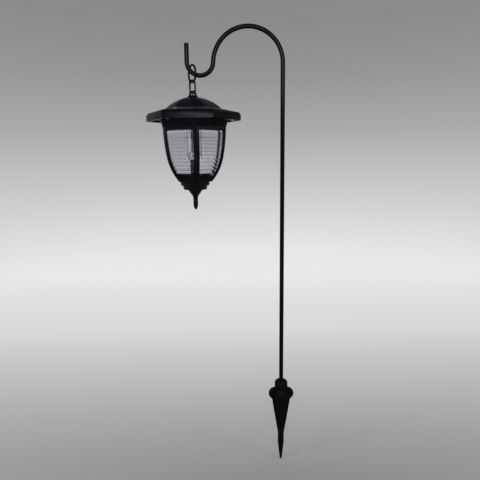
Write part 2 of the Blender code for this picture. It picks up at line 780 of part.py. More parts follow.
def make_electrics(lantern):
    board = finish("green_board", (0.02, 0.16, 0.07), 0.4)
    disc("circuit_board", BOARD_DIAMETER / 2, BOARD_FOOT, BOARD_TOP, board, lantern)
    lamp_top = BOARD_FOOT - FIT
    radius = LED_DIAMETER / 2
    rim = LED_RIM / 2
    rim_foot = lamp_top - LED_RIM_HEIGHT
    bulb = arc((0.0, lamp_top - LED_LENGTH + radius), radius, 0, -math.pi / 2, CORNER_STEPS)
    profile = [(0.0, lamp_top), (rim, lamp_top), (rim, rim_foot), (radius, rim_foot)]
    profile += bulb[:-1] + [(0.0, lamp_top - LED_LENGTH)]
    epoxy = finish("lamp_epoxy", (0.9, 0.85, 0.6), 0.1)
    turned("led_lamp", profile, epoxy, lantern, steps=MEDIUM_STEPS)
    make_switch(lantern, lamp_top)
    make_battery(lantern)


def make_switch(lantern, top):
    """Slide switch under the board, worked through the slot in the neck's floor."""
    middle = (SWITCH_TRAVEL / 2, -SWITCH_OFFSET, top - SWITCH_HEIGHT / 2)
    size = (SWITCH_LENGTH, SWITCH_WIDTH, SWITCH_HEIGHT)
    block("switch_housing", size, middle, bright_metal(), lantern)
    high = top - SWITCH_HEIGHT - FIT
    low = NECK_FOOT - SLIDER_PROUD
    block(
        "switch_slider",
        (SLIDER_LENGTH, SLIDER_WIDTH, high - low),
        (0.0, 0.0, (high + low) / 2),
        finish("white_plastic", (0.75, 0.75, 0.72), 0.4),
        lantern,
        location=(0.0, -SWITCH_OFFSET, 0.0),
    )


def make_battery(lantern):
    """Tray on the plate across the neck, with the cell between its spring and its contact plate."""
    floor = PLATE_TOP + FIT
    floor_top = floor + TRAY_WALL
    width = CELL_DIAMETER + 2 * FIT
    half = TRAY_INSIDE / 2
    outside = TRAY_INSIDE + 2 * TRAY_WALL
    height = TRAY_WALL + TRAY_SIDE_HEIGHT
    size = (outside, width + 2 * TRAY_WALL, height)
    tray = block("battery_tray", size, (0, 0, floor + height / 2), black_plastic(), lantern)
    size = (TRAY_INSIDE, width, height)
    cut(tray, block("tray_hollow", size, (0, 0, floor_top + height / 2), parent=lantern))
    size = (2 * (NECK_RADIUS - NECK_WALL + TRAY_FOOT), width, TRAY_WALL)
    join(tray, block("tray_feet", size, (0, 0, floor + TRAY_WALL / 2), parent=lantern))
    axis_z = floor_top + FIT + CELL_DIAMETER / 2
    start = -half + FIT + SPRING_LENGTH + FIT
    radius = CELL_DIAMETER / 2
    nub = CELL_NUB / 2
    profile = [
        (0.0, CELL_LENGTH + CELL_NUB_LENGTH),
        (nub, CELL_LENGTH + CELL_NUB_LENGTH),
        (nub, CELL_LENGTH),
        (radius, CELL_LENGTH),
        (radius, 0.0),
        (0.0, 0.0),
    ]
    wrap = finish("cell_wrap", (0.10, 0.32, 0.16), 0.35)
    place = {"location": (start, 0.0, axis_z), "rotation": (0.0, math.pi / 2, 0.0)}
    turned("battery_cell", profile, wrap, lantern, steps=MEDIUM_STEPS, **place)
    make_spring(lantern, (-half + FIT, 0.0, axis_z))
    plate_x = half - FIT - CONTACT_THICKNESS / 2
    contact = CELL_NUB + 2 * CONTACT_MARGIN
    size = (CONTACT_THICKNESS, contact, contact)
    block("battery_plate", size, (plate_x, 0.0, axis_z), bright_metal(), lantern)


def make_spring(lantern, place):
    """Coil spring along +X that presses the cell's flat end."""
    wire = SPRING_WIRE / 2
    pitch = (SPRING_LENGTH - SPRING_WIRE) / SPRING_TURNS
    radius = (SPRING_WIDTH - SPRING_WIRE) / 2
    line = []
    for k in range(SPRING_TURNS * SPRING_STEPS + 1):
        turns = k / SPRING_STEPS
        y, z, _ = on_circle(radius, 2 * math.pi * turns)
        line.append((wire + pitch * turns, y, z))
    print(f"battery_spring: least gap between turns {(pitch - SPRING_WIRE) * 1000:.2f} mm")
    shape = {"resolution": SPRING_RESOLUTION, "location": place}
    tube("battery_spring", line, SPRING_WIRE, bright_metal(), lantern, **shape)


def make_light_tube(lantern):
    """Clear tube on the spigot under the neck, closed by a flared lens that throws the light sideways."""
    outer = TUBE_DIAMETER / 2
    inner = outer - TUBE_WALL
    section = [(outer, TUBE_TOP), (outer, TUBE_FOOT), (inner, TUBE_FOOT), (inner, TUBE_TOP)]
    turned("light_tube", section, clear_plastic(), lantern)
    top = TUBE_FOOT - FIT
    flare = LENS_DIAMETER / 2
    profile = [
        (0.0, TUBE_FOOT + LENS_DISH),
        (SPIGOT_RADIUS, TUBE_FOOT + LENS_PLUG),
        (SPIGOT_RADIUS, top),
        (outer, top),
        (flare, top - LENS_FLARE_TOP),
        (flare, top - LENS_FLARE_FOOT),
        (outer, top - LENS_HEIGHT),
        (0.0, top - LENS_HEIGHT),
    ]
    turned("spread_lens", profile, clear_plastic(), lantern)


# Lantern body

def cage_profile():
    """Closed wall section of the cage: flange, collar, bell and floor."""
    skin = CAGE_WALL / COS30
    outer = [(body_radius(d), -d) for d in depths(CAGE_COLLAR_FOOT, CAGE_FOOT, BELL_STEPS)]
    floor_depth = CAGE_FOOT - CAGE_FLOOR
    inner = [(body_radius(d) - skin, -d) for d in depths(floor_depth, CAGE_COLLAR_FOOT, BELL_STEPS)]
    hub = STUD_DIAMETER / 4
    lip = NECK_RADIUS / 2
    collar = [(CAGE_COLLAR_TOP_RADIUS, CAGE_TOP), (CAGE_COLLAR_FOOT_RADIUS, -CAGE_COLLAR_FOOT)]
    top = [(lip, CAGE_TOP)] + collar
    floor = [(hub, -CAGE_FOOT), (hub, -floor_depth)]
    under_flange = [(inner[-1][0], FLANGE_FOOT), (lip, FLANGE_FOOT)]
    return top + outer + floor + inner + under_flange


def window_outline():
    """Opening between two ribs, seen square on: its sides keep the rib's width from the cage's corners."""
    rows = depths(WINDOW_TOP, WINDOW_FOOT, WINDOW_STEPS)
    right = [((body_radius(d) - RIB_WIDTH) / 2, -d) for d in rows]
    return right + [(-x, z) for x, z in reversed(right)]


def make_cage(body):
    cage = turned("lantern_cage", cage_profile(), black_paint(), body, steps=HEX)
    through = (FLANGE_FOOT - CUT_SPARE, CAGE_TOP + CUT_SPARE)
    cut(cage, disc("cage_mouth", FLANGE_HOLE, *through, parent=body, steps=NECK_STEPS))
    for k, angle in enumerate(ring_of(LUG_COUNT, math.pi / 2)):
        length = LUG_REACH + FLANGE_HOLE / 2
        notch = block(
            f"lug_notch_{k + 1}",
            (length, LUG_WIDTH + 2 * NOTCH_SPARE, 2 * CAGE_FLANGE),
            (FLANGE_HOLE + LUG_REACH - length / 2, 0.0, (CAGE_TOP + FLANGE_FOOT) / 2),
            parent=body,
            rotation=(0, 0, angle),
        )
        cut(cage, notch)
    across = 3 * SHOULDER_RADIUS
    for k, angle in enumerate(ring_of(HEX)[:HEX // 2], start=1):
        turn = (0.0, 0.0, angle)
        cut(cage, plate(f"window_cutter_{k}", window_outline(), across, parent=body, rotation=turn))
    floor_top = -CAGE_FOOT + CAGE_FLOOR
    stud_radius = STUD_DIAMETER / 2 + FIT
    cut(cage, disc("stud_hole", stud_radius, -CAGE_FOOT - CUT_SPARE, floor_top + CUT_SPARE, parent=body))


def make_panes(body):
    """Six clear panes behind the windows, bent to the cage's bell and held under the collar."""
    top = LUG_FOOT - SLIDE
    foot = -(CAGE_FOOT - CAGE_FLOOR - FIT)
    for k, angle in enumerate(ring_of(HEX), start=1):
        mesh = bpy.data.meshes.new(f"window_pane_{k}")
        bm = bmesh.new()
        bmesh.ops.create_grid(bm, x_segments=1, y_segments=PANE_ROWS, size=0.5)
        for vertex in bm.verts:
            height = foot + (top - foot) * (vertex.co.y + 0.5)
            reach = body_radius(-height) * COS30 - CAGE_WALL - FIT
            half = reach * TAN30 - PANE_INSET
            vertex.co = (math.copysign(half, vertex.co.x), -reach, height)
        bm.to_mesh(mesh)
        bm.free()
        pane = add_object(mesh.name, mesh, clear_plastic(), body, rotation=(0, 0, angle))
        skin = pane.modifiers.new("thickness", "SOLIDIFY")
        skin.thickness = PANE_THICKNESS
        skin.offset = -1.0


def make_base(body):
    """Turned tiers under the cage, held by the finial's stud and a nut on the cage's floor."""
    paint = black_paint()
    top = -CAGE_FOOT - FIT
    step = top - TIER_1_HEIGHT
    foot = step - TIER_2_HEIGHT
    bore = STUD_DIAMETER / 2 + FIT
    hollow = TIER_2_RADIUS - TIER_TAPER - TIER_WALL
    profile = [
        (TIER_1_RADIUS, top),
        (TIER_1_RADIUS, step + TIER_1_HEIGHT / 2),
        (TIER_1_RADIUS - TIER_TAPER, step),
        (TIER_2_RADIUS, step),
        (TIER_2_RADIUS, foot + TIER_2_HEIGHT / 2),
        (TIER_2_RADIUS - TIER_TAPER, foot),
        (bore, foot),
        (bore, foot + TIER_WALL),
        (hollow, foot + TIER_WALL),
        (hollow, top),
    ]
    turned("base_cup", profile, paint, body)
    make_finial(body, foot - FIT)
    make_nut("finial_nut", -CAGE_FOOT + CAGE_FLOOR + FIT + NUT_HEIGHT, STUD_DIAMETER, body)


def make_finial(body, top):
    """Flared cup that tapers to a waist and ends in a drop-shaped bead, with a stud up through the base."""
    stud = STUD_DIAMETER / 2
    stud_top = -CAGE_FOOT + CAGE_FLOOR + FIT + NUT_HEIGHT + SHANK_SPARE
    neck_z = top - FINIAL_FLARE_HEIGHT
    waist_z = neck_z - FINIAL_NECK_LENGTH
    lean = math.acos(FINIAL_WAIST / FINIAL_BEAD)
    rise = FINIAL_BEAD_LENGTH / (1 + math.sin(lean))
    middle = (0.0, waist_z - rise * math.sin(lean))
    bead = arc(middle, FINIAL_BEAD, lean, -math.pi / 2, BEND_STEPS, rise)
    profile = [
        (0.0, stud_top),
        (stud, stud_top),
        (stud, top),
        (FINIAL_FLARE, top),
        (FINIAL_FLARE, top - FINIAL_LIP),
        (FINIAL_NECK, neck_z),
    ]
    profile += bead[:-1] + [(0.0, waist_z - FINIAL_BEAD_LENGTH)]
    turned("drop_finial", profile, black_paint(), body, steps=MEDIUM_STEPS)


def main():
    start_clean()
    make_spike()
    make_hook()
    make_chain()
    lantern = add_empty("lantern_axis", (HANG_X, 0.0, EAVE_Z), LANTERN_TURN)
    make_hanging_loop(lantern)
    make_roof(lantern)
    make_cap_base(lantern)
    make_electrics(lantern)
    make_light_tube(lantern)
    body = add_empty("body_axis", (0.0, 0.0, 0.0), BODY_TURN, lantern)
    make_cage(body)
    make_panes(body)
    make_base(body)
    print(f"hang point {HANG_X:.5f} {HANG_Z:.5f}, ring foot {RING_FOOT_Z:.5f}, link foot {LINK_FOOT_Z:.5f}")
    print(f"eave height {EAVE_Z:.5f}, switch at {-SWITCH_OFFSET:.5f}")


main()
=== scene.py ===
# %% [markdown]
# # Solar garden light on a shepherd's hook
# A black lantern hangs from a bent steel rod that stands on a plastic spike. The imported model
# already holds every solid at its real place. This lesson dresses it: smoother shapes where the
# eye rests, and a procedural finish on every piece.

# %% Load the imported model
import json
from math import acos, asin, atan, atan2, cos, pi, radians, sin, sqrt, tan

import bmesh
import bpy
from mathutils import Matrix, Vector


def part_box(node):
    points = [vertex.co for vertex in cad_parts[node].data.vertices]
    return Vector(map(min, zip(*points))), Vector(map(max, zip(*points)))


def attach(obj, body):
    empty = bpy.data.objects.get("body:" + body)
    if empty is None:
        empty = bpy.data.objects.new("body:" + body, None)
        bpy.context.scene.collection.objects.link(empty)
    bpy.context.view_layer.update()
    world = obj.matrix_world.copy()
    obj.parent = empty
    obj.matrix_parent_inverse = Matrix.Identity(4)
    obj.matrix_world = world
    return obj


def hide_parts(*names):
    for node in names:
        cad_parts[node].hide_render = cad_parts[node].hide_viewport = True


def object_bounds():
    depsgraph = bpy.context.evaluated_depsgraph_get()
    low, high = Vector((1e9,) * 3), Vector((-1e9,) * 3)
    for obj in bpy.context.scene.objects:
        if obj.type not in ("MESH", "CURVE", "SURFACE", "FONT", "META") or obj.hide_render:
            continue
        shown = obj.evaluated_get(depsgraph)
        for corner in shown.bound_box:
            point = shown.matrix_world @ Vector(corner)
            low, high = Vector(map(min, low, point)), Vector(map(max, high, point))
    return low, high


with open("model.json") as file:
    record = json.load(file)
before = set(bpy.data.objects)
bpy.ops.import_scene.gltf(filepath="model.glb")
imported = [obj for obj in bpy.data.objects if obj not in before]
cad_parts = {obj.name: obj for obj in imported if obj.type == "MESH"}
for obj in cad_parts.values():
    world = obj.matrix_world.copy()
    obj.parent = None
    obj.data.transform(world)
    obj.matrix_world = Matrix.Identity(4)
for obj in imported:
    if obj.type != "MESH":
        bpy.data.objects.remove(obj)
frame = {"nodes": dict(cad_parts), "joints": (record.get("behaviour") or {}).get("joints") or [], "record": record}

scene = bpy.context.scene
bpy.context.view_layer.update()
joints = {joint["name"]: joint for joint in frame["joints"]}
print("nodes:", len(frame["nodes"]), "joints:", sorted(joints))

# %% [markdown]
# ## Camera
# The picture's perspective fixes where the camera stood: about two thirds of a metre in front,
# level with the lantern, looking ten degrees down. With that place and the right lens, every piece
# falls where the picture shows it.

# %% Place the camera
CAMERA_PLACE = Vector((-0.062, -0.662, 0.378))
CAMERA_DIP = radians(10.42)
CAMERA_ROLL = radians(0.64)
LENS_MM = 34.11
CLIP_NEAR = 0.01

camera = bpy.data.objects.new("camera", bpy.data.cameras.new("camera"))
camera.data.lens = LENS_MM
camera.data.clip_start = CLIP_NEAR
dip = Matrix.Rotation(pi / 2 - CAMERA_DIP, 4, "X")
roll = Matrix.Rotation(-CAMERA_ROLL, 4, "Z")
camera.matrix_world = Matrix.Translation(CAMERA_PLACE) @ dip @ roll
scene.collection.objects.link(camera)
scene.camera = camera
scene.view_settings.view_transform = "Standard"
print("camera at", tuple(CAMERA_PLACE))

# %% [markdown]
# ## Small helpers for finishes
# Each finish starts from one Principled shader. Numbers that are the same all over go straight
# onto its sockets. Noise then varies what really varies: a little colour, the gloss, and a fine
# bump. Object coordinates keep the grain the same size on every piece.

# %% Helpers for finishes
DARK_STOP = 0.35
LIGHT_STOP = 0.7
GRAIN_DETAIL = 2.0


def new_finish(name, colour, roughness, **sockets):
    """A material with a Principled shader; returns the material and the shader."""
    finish = bpy.data.materials.new(name)
    finish.use_nodes = True
    shader = finish.node_tree.nodes["Principled BSDF"]
    shader.inputs["Base Color"].default_value = (*colour, 1.0)
    shader.inputs["Roughness"].default_value = roughness
    for socket, value in sockets.items():
        shader.inputs[socket.replace("_", " ")].default_value = value
    finish.diffuse_color = (*colour, 1.0)
    return finish, shader


def noise(finish, scale, detail=4.0):
    """A noise texture in object coordinates; scale is in grains per metre."""
    nodes = finish.node_tree.nodes
    place = nodes.new("ShaderNodeTexCoord")
    texture = nodes.new("ShaderNodeTexNoise")
    texture.inputs["Scale"].default_value = scale
    texture.inputs["Detail"].default_value = detail
    finish.node_tree.links.new(place.outputs["Object"], texture.inputs["Vector"])
    return texture


def vary_gloss(finish, shader, low, high, scale):
    """Let the roughness drift between two values, as rubbed and dusty paint does."""
    spread = finish.node_tree.nodes.new("ShaderNodeMapRange")
    spread.inputs["To Min"].default_value = low
    spread.inputs["To Max"].default_value = high
    links = finish.node_tree.links
    links.new(noise(finish, scale).outputs["Fac"], spread.inputs["Value"])
    links.new(spread.outputs["Result"], shader.inputs["Roughness"])


def vary_colour(finish, shader, dark, light, scale):
    """Let the colour drift between two tones."""
    ramp = finish.node_tree.nodes.new("ShaderNodeValToRGB")
    ramp.color_ramp.elements[0].color = (*dark, 1.0)
    ramp.color_ramp.elements[0].position = DARK_STOP
    ramp.color_ramp.elements[1].color = (*light, 1.0)
    ramp.color_ramp.elements[1].position = LIGHT_STOP
    links = finish.node_tree.links
    links.new(noise(finish, scale).outputs["Fac"], ramp.inputs["Fac"])
    links.new(ramp.outputs["Color"], shader.inputs["Base Color"])


def add_grain(finish, shader, scale, height, strength):
    """A fine bump; height is in metres."""
    bump = finish.node_tree.nodes.new("ShaderNodeBump")
    bump.inputs["Strength"].default_value = strength
    bump.inputs["Distance"].default_value = height
    links = finish.node_tree.links
    links.new(noise(finish, scale, GRAIN_DETAIL).outputs["Fac"], bump.inputs["Height"])
    links.new(bump.outputs["Normal"], shader.inputs["Normal"])


print("finish helpers ready")

# %% [markdown]
# ## Black paint, black moulding and spike plastic
# The rod and its links are steel with a thin black paint, so they shine in narrow lines. The
# lantern is moulded plastic with a satin skin. The spike is duller and slightly grained, as a
# part that is pushed into the soil is.

# %% Make the black finishes
black = (0.002, 0.002, 0.0023)
ROD_PAINT, shader = new_finish("rod_paint", black, 0.17, Specular_IOR_Level=0.05)
vary_colour(ROD_PAINT, shader, (0.001, 0.001, 0.0012), (0.002, 0.002, 0.0024), scale=220.0)
vary_gloss(ROD_PAINT, shader, low=0.15, high=0.19, scale=60.0)
add_grain(ROD_PAINT, shader, scale=2600.0, height=0.00001, strength=0.04)

black = (0.0012, 0.0018, 0.003)
LANTERN_BLACK, shader = new_finish("lantern_black", black, 0.32, Specular_IOR_Level=0.06)
vary_colour(LANTERN_BLACK, shader, (0.0009, 0.0013, 0.0022), (0.0018, 0.0026, 0.0042), scale=90.0)
vary_gloss(LANTERN_BLACK, shader, low=0.27, high=0.38, scale=70.0)
add_grain(LANTERN_BLACK, shader, scale=2200.0, height=0.00003, strength=0.15)

black = (0.002, 0.002, 0.0023)
SPIKE_PLASTIC, shader = new_finish("spike_plastic", black, 0.5, Specular_IOR_Level=0.04)
vary_colour(SPIKE_PLASTIC, shader, (0.0014, 0.0014, 0.0017), (0.0035, 0.0035, 0.004), scale=140.0)
vary_gloss(SPIKE_PLASTIC, shader, low=0.42, high=0.60, scale=110.0)
add_grain(SPIKE_PLASTIC, shader, scale=1500.0, height=0.00006, strength=0.25)

print("black finishes:", ROD_PAINT.name, LANTERN_BLACK.name, SPIKE_PLASTIC.name)

# %% [markdown]
# ## Clear plastic
# The windows, the light tube and its lens are clear styrene. Full transmission with a plastic's
# refractive index bends what lies behind, so the grooves of the windows draw their own lines. The
# windows are a little greyer than the tube. A weak specular tint keeps their mirror image of the
# pale room from veiling what is inside.

# %% Make the clear finishes
PLASTIC_IOR = 1.49
POLISHED = 0.6
RUBBED = 1.5


def clear_plastic(name, tint, roughness, mirror):
    """Clear plastic; mirror is the share of the usual reflection that it keeps."""
    sockets = {
        "Transmission_Weight": 1.0,
        "IOR": PLASTIC_IOR,
        "Specular_Tint": (mirror, mirror, mirror, 1.0),
    }
    finish, shader = new_finish(name, tint, roughness, **sockets)
    vary_gloss(finish, shader, roughness * POLISHED, roughness * RUBBED, scale=120.0)
    add_grain(finish, shader, scale=400.0, height=0.00003, strength=0.1)
    return finish


WINDOW_CLEAR = clear_plastic("window_clear", (0.77, 0.77, 0.81), roughness=0.035, mirror=0.3)
TUBE_CLEAR = clear_plastic("tube_clear", (0.97, 0.97, 0.98), roughness=0.02, mirror=1.0)
print("clear finishes:", WINDOW_CLEAR.name, TUBE_CLEAR.name)

# %% [markdown]
# ## Finishes of the small parts
# Screws, nuts and contacts are plated steel, the seal is rubber, and the electrics have their
# usual colours. Most of this is inside the cap, but it should look right when that is opened.

# %% Make the small finishes
DARKER = 0.8
LIGHTER = 1.15
GLOSSIER = 0.8
DULLER = 1.25
GRAINS_A_PATCH = 6.0
SMALL_FINISHES = {}


def small_finish(name, colour, roughness, scale, **sockets):
    """Keep a finish that drifts round one colour and gloss; scale is in patches per metre."""
    finish, shader = new_finish(name, colour, roughness, **sockets)
    dark = [channel * DARKER for channel in colour]
    light = [min(1.0, channel * LIGHTER) for channel in colour]
    vary_colour(finish, shader, dark, light, scale)
    vary_gloss(finish, shader, roughness * GLOSSIER, roughness * DULLER, scale)
    add_grain(finish, shader, scale * GRAINS_A_PATCH, height=0.00004, strength=0.2)
    SMALL_FINISHES[name] = finish


small_finish("plated_steel", (0.62, 0.62, 0.60), 0.28, 300.0, Metallic=1.0)
small_finish("soft_rubber", (0.03, 0.03, 0.03), 0.8, 200.0)
small_finish("board_green", (0.02, 0.16, 0.07), 0.4, 250.0)
small_finish("lamp_epoxy", (0.90, 0.85, 0.60), 0.1, 150.0)
small_finish("white_plastic", (0.75, 0.75, 0.72), 0.4, 200.0)
small_finish("cell_wrap", (0.10, 0.32, 0.16), 0.35, 120.0)
small_finish("lead_jacket", (0.50, 0.02, 0.02), 0.5, 200.0)
small_finish("ribbon_tin", (0.16, 0.16, 0.155), 0.45, 240.0, Metallic=0.4)
small_finish("cell_blue", (0.004, 0.006, 0.018), 0.12, 180.0, Coat_Weight=0.3)
print("small finishes:", list(SMALL_FINISHES))

# %% [markdown]
# ## From a mesh to a piece
# Every shape is first drawn with bmesh, Blender's mesh editor for scripts. Then it becomes an
# object, shades smoothly except at sharp edges, gets its finish and is tied to its body. A small
# bevel rounds the sharp edges where a mould or a tool would, so that they catch the light.

# %% Helpers for pieces
SHARP_ANGLE = radians(35)


def smooth_object(name, bm, finish):
    """Turn a bmesh into an object of the scene that shades smoothly."""
    mesh = bpy.data.meshes.new(name)
    bm.to_mesh(mesh)
    bm.free()
    mesh.shade_smooth()
    mesh.materials.append(finish)
    made = bpy.data.objects.new(name, mesh)
    scene.collection.objects.link(made)
    return made


def add_piece(name, bm, finish, body, slot, *stands_for):
    """Turn a bmesh into a piece that rides on a body and stands for the named solids."""
    bmesh.ops.recalc_face_normals(bm, faces=bm.faces)
    piece = smooth_object(name, bm, finish)
    piece.data.set_sharp_from_angle(angle=SHARP_ANGLE)
    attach(piece, body)
    if stands_for:
        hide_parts(*stands_for)
    return piece


def soften(piece, width, segments=2):
    """Round the piece's sharp edges."""
    bevel = piece.modifiers.new("soft_edges", "BEVEL")
    bevel.width = width
    bevel.segments = segments
    bevel.limit_method = "ANGLE"
    bevel.angle_limit = SHARP_ANGLE
    bevel.harden_normals = True


print("piece helpers ready")

# %% [markdown]
# ## Walls and turned shapes
# A loft joins rows of points of equal count into walls. Everything else here ends in one: a lathe
# turns a profile about an upright axis, and a plate is an outline with a thickness.

# %% Helpers for walls and turned shapes
UP = Vector((0.0, 0.0, 1.0))


def loft(bm, rows, close_rows=False, skip=None):
    """Join rows of points into walls; skip(row, column) leaves a face out."""
    rings = [[bm.verts.new(point) for point in row] for row in rows]
    count = len(rows[0])
    last = len(rings) if close_rows else len(rings) - 1
    for i in range(last):
        upper = rings[i]
        lower = rings[(i + 1) % len(rings)]
        for j in range(count):
            if skip and skip(i, j):
                continue
            k = (j + 1) % count
            bm.faces.new((upper[j], lower[j], lower[k], upper[k]))
    return rings


def cap_ends(bm, rings):
    bm.faces.new(rings[0])
    bm.faces.new(reversed(rings[-1]))


def turn_angles(steps):
    return [2 * pi * k / steps for k in range(steps)]


def circle(centre, radius, height, angles, ripple=None):
    """Points round an upright axis; ripple(angle) scales the radius, for a scalloped edge."""
    points = []
    for a in angles:
        reach = radius * ripple(a) if ripple else radius
        points.append((centre.x + reach * cos(a), centre.y + reach * sin(a), height))
    return points


def lathe(bm, profile, centre, steps=64, ripple=None, hollow=False):
    """Turn (radius, height) points about an upright axis through centre.

    A hollow profile is the closed section of a wall. Any other has its two ends capped.
    """
    angles = turn_angles(steps)
    rows = [circle(centre, radius, height, angles, ripple) for radius, height in profile]
    rings = loft(bm, rows, close_rows=hollow)
    if not hollow:
        cap_ends(bm, rings)


def plate(bm, outline, along, thickness):
    """An upright plate: (offset, height) points along a level direction, given a thickness."""
    side = Vector((-along.y, along.x, 0.0)) * thickness / 2
    rows = [[along * x + face + UP * z for x, z in outline] for face in (side, -side)]
    cap_ends(bm, loft(bm, rows))


print("wall helpers ready")

# %% [markdown]
# ## Wires and curves
# A sweep carries a round wire along a path of points, and an arc gives such points. A heading is
# a level direction, told by its angle from the X axis.

# %% Helpers for wires and curves
def heading(angle):
    return Vector((cos(angle), sin(angle), 0.0))


def even_steps(start, stop, count):
    return [start + (stop - start) * k / count for k in range(count + 1)]


def arc_points(centre, radius, start, stop, count):
    """(x, z) points on an arc, both ends included."""
    angles = even_steps(start, stop, count)
    return [(centre[0] + radius * cos(a), centre[1] + radius * sin(a)) for a in angles]


def sweep(bm, path, radii, sides, closed=False):
    """Carry a round section along a path, turning it as little as possible on the way."""
    count = len(path)
    normal = None
    rows = []
    for k, point in enumerate(path):
        before = path[k - 1] if closed or k > 0 else point
        after = path[(k + 1) % count] if closed or k < count - 1 else point
        along = (after - before).normalized()
        if normal is None:
            normal = along.orthogonal().normalized()
        normal = (normal - along * normal.dot(along)).normalized()
        other = along.cross(normal)
        row = []
        for a in turn_angles(sides):
            row.append(point + (normal * cos(a) + other * sin(a)) * radii[k])
        rows.append(row)
    rings = loft(bm, rows, close_rows=closed)
    if not closed:
        cap_ends(bm, rings)


print("wire helpers ready")

# %% [markdown]
# ## Shepherd's hook
# The stand is one quarter-inch steel rod, straight for half a metre, then bent into a crook and
# a small cradle. A sweep along two arcs follows the bender's own moves. The tip is a sawn end
# with its edge taken off, so the last section is a little smaller.

# %% Bend the rod
ROD_RADIUS = 0.003175
CROOK_RADIUS = 0.0482
CROOK_SHORT = radians(2.4)
CRADLE_RADIUS = 0.0182
POLE_TOP = 0.5043
TIP_RISE = 0.0245
TIP_CHAMFER = 0.0006
BEND_STEPS = 48
ROD_SIDES = 28

hook_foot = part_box("shepherd_hook")[0].z
crook_centre = (-CROOK_RADIUS, POLE_TOP)
reach = CROOK_RADIUS + CRADLE_RADIUS
cradle_centre = (
    crook_centre[0] - reach * cos(CROOK_SHORT),
    crook_centre[1] + reach * sin(CROOK_SHORT),
)
tip_x = cradle_centre[0] - CRADLE_RADIUS
tip_z = cradle_centre[1] + TIP_RISE
rod_line = [(0.0, hook_foot), (0.0, hook_foot + TIP_CHAMFER), (0.0, POLE_TOP / 2)]
rod_line += arc_points(crook_centre, CROOK_RADIUS, 0.0, pi - CROOK_SHORT, BEND_STEPS)
rod_line += arc_points(cradle_centre, CRADLE_RADIUS, -CROOK_SHORT, -pi, BEND_STEPS)[1:]
rod_line += [(tip_x, tip_z - TIP_CHAMFER), (tip_x, tip_z)]
rod_path = [Vector((x, 0.0, z)) for x, z in rod_line]
rod_radii = [ROD_RADIUS] * len(rod_path)
rod_radii[0] = ROD_RADIUS - TIP_CHAMFER
rod_radii[-1] = ROD_RADIUS - TIP_CHAMFER

bm = bmesh.new()
sweep(bm, rod_path, rod_radii, ROD_SIDES)
add_piece("bent_rod", bm, ROD_PAINT, "stand", "rod_paint", "shepherd_hook")
print("rod tip at", round(tip_x, 4), round(tip_z, 4))

# %% [markdown]
# ## Ring and chain link
# Both are wire bent into a long oval and closed by a small weld. A closed sweep gives the oval,
# and a slight swelling of the wire at one place is the weld bead.

# %% Bend the ring and the link
LINK_STEPS = 20
WIRE_SIDES = 18
WELD_SWELL = 1.12
RING_TURN = radians(-58)


def wire_oval(width, height, foot, turn):
    """Path of a closed link that stands on a point, turned about the vertical."""
    radius = width / 2
    top = foot + UP * (height - radius)
    shape = arc_points((0.0, 0.0), radius, 0.0, pi, LINK_STEPS)
    shape += arc_points((0.0, width - height), radius, pi, 2 * pi, LINK_STEPS)
    return [top + heading(turn) * x + UP * z for x, z in shape]


def make_link(name, node, body, width, height, wire, foot_joint, turn):
    path = wire_oval(width, height, Vector(joints[foot_joint]["pos_m"]), turn)
    radii = [wire / 2] * len(path)
    radii[LINK_STEPS] *= WELD_SWELL
    bm = bmesh.new()
    sweep(bm, path, radii, WIRE_SIDES, closed=True)
    add_piece(name, bm, ROD_PAINT, body, "rod_paint", node)
    print(name, "is", round(height * 1000, 1), "mm tall on centres")


RING_WIRE = 0.0028
RING_WIDTH = 0.0210
RING_HEIGHT = 0.0231
LINK_WIRE = 0.0024
LINK_WIDTH = 0.0080
LINK_HEIGHT = 0.0177
ring_size = (RING_WIDTH, RING_HEIGHT, RING_WIRE)
link_size = (LINK_WIDTH, LINK_HEIGHT, LINK_WIRE)
make_link("wire_ring", "hook_ring", "ring", *ring_size, "link_swing", RING_TURN)
make_link("wire_link", "chain_link", "link", *link_size, "lantern_swing", RING_TURN + pi / 2)

# %% [markdown]
# ## Ground spike
# The spike is one moulding: a round collar that grips the rod, a core that tapers down, and four
# thin fins, of which two swell into round lobes that stop it at ground level. The collar and core
# are turned, the fins are plates, and a bevel eases their edges as a mould does.

# %% Mould the spike
COLLAR_RADIUS = 0.0100
COLLAR_TOP = 0.0332
COLLAR_ROUND = 0.0055
SOCKET_RADIUS = 0.0035
LOBE_RADIUS = 0.0103
LOBE_HALF_SPAN = 0.0194
LOBE_START = radians(-60)
CORE_RADIUS = 0.0105
CORE_START = radians(60)
CORE_FOOT_RADIUS = 0.003
FIN_THICKNESS = 0.003
FIN_EASE = 0.0007
FIN_SEGMENTS = 3
SPIKE_DEPTH = 0.104
POINT_LENGTH = 0.030
POINT_HALF = 0.0015
WAIST_HALF = 0.0047
WAIST_LENGTH = 0.016
SHOULDER_HALF = 0.0135
SPIKE_STEPS = 16
ORIGIN = Vector((0.0, 0.0, 0.0))
waist_foot = POINT_LENGTH - SPIKE_DEPTH
waist_top = waist_foot + WAIST_LENGTH


def fin_outline(lobed):
    """Outline of a pair of fins from the tip up; the wide pair carries the lobes."""
    half = [(POINT_HALF, -SPIKE_DEPTH), (WAIST_HALF, waist_foot), (WAIST_HALF, waist_top)]
    if lobed:
        centre = (LOBE_HALF_SPAN - LOBE_RADIUS, LOBE_RADIUS)
        half += arc_points(centre, LOBE_RADIUS, LOBE_START, pi / 2, SPIKE_STEPS)
    else:
        half += [(SHOULDER_HALF, 0.0), (CORE_RADIUS, LOBE_RADIUS)]
    return half + [(-x, z) for x, z in reversed(half)]


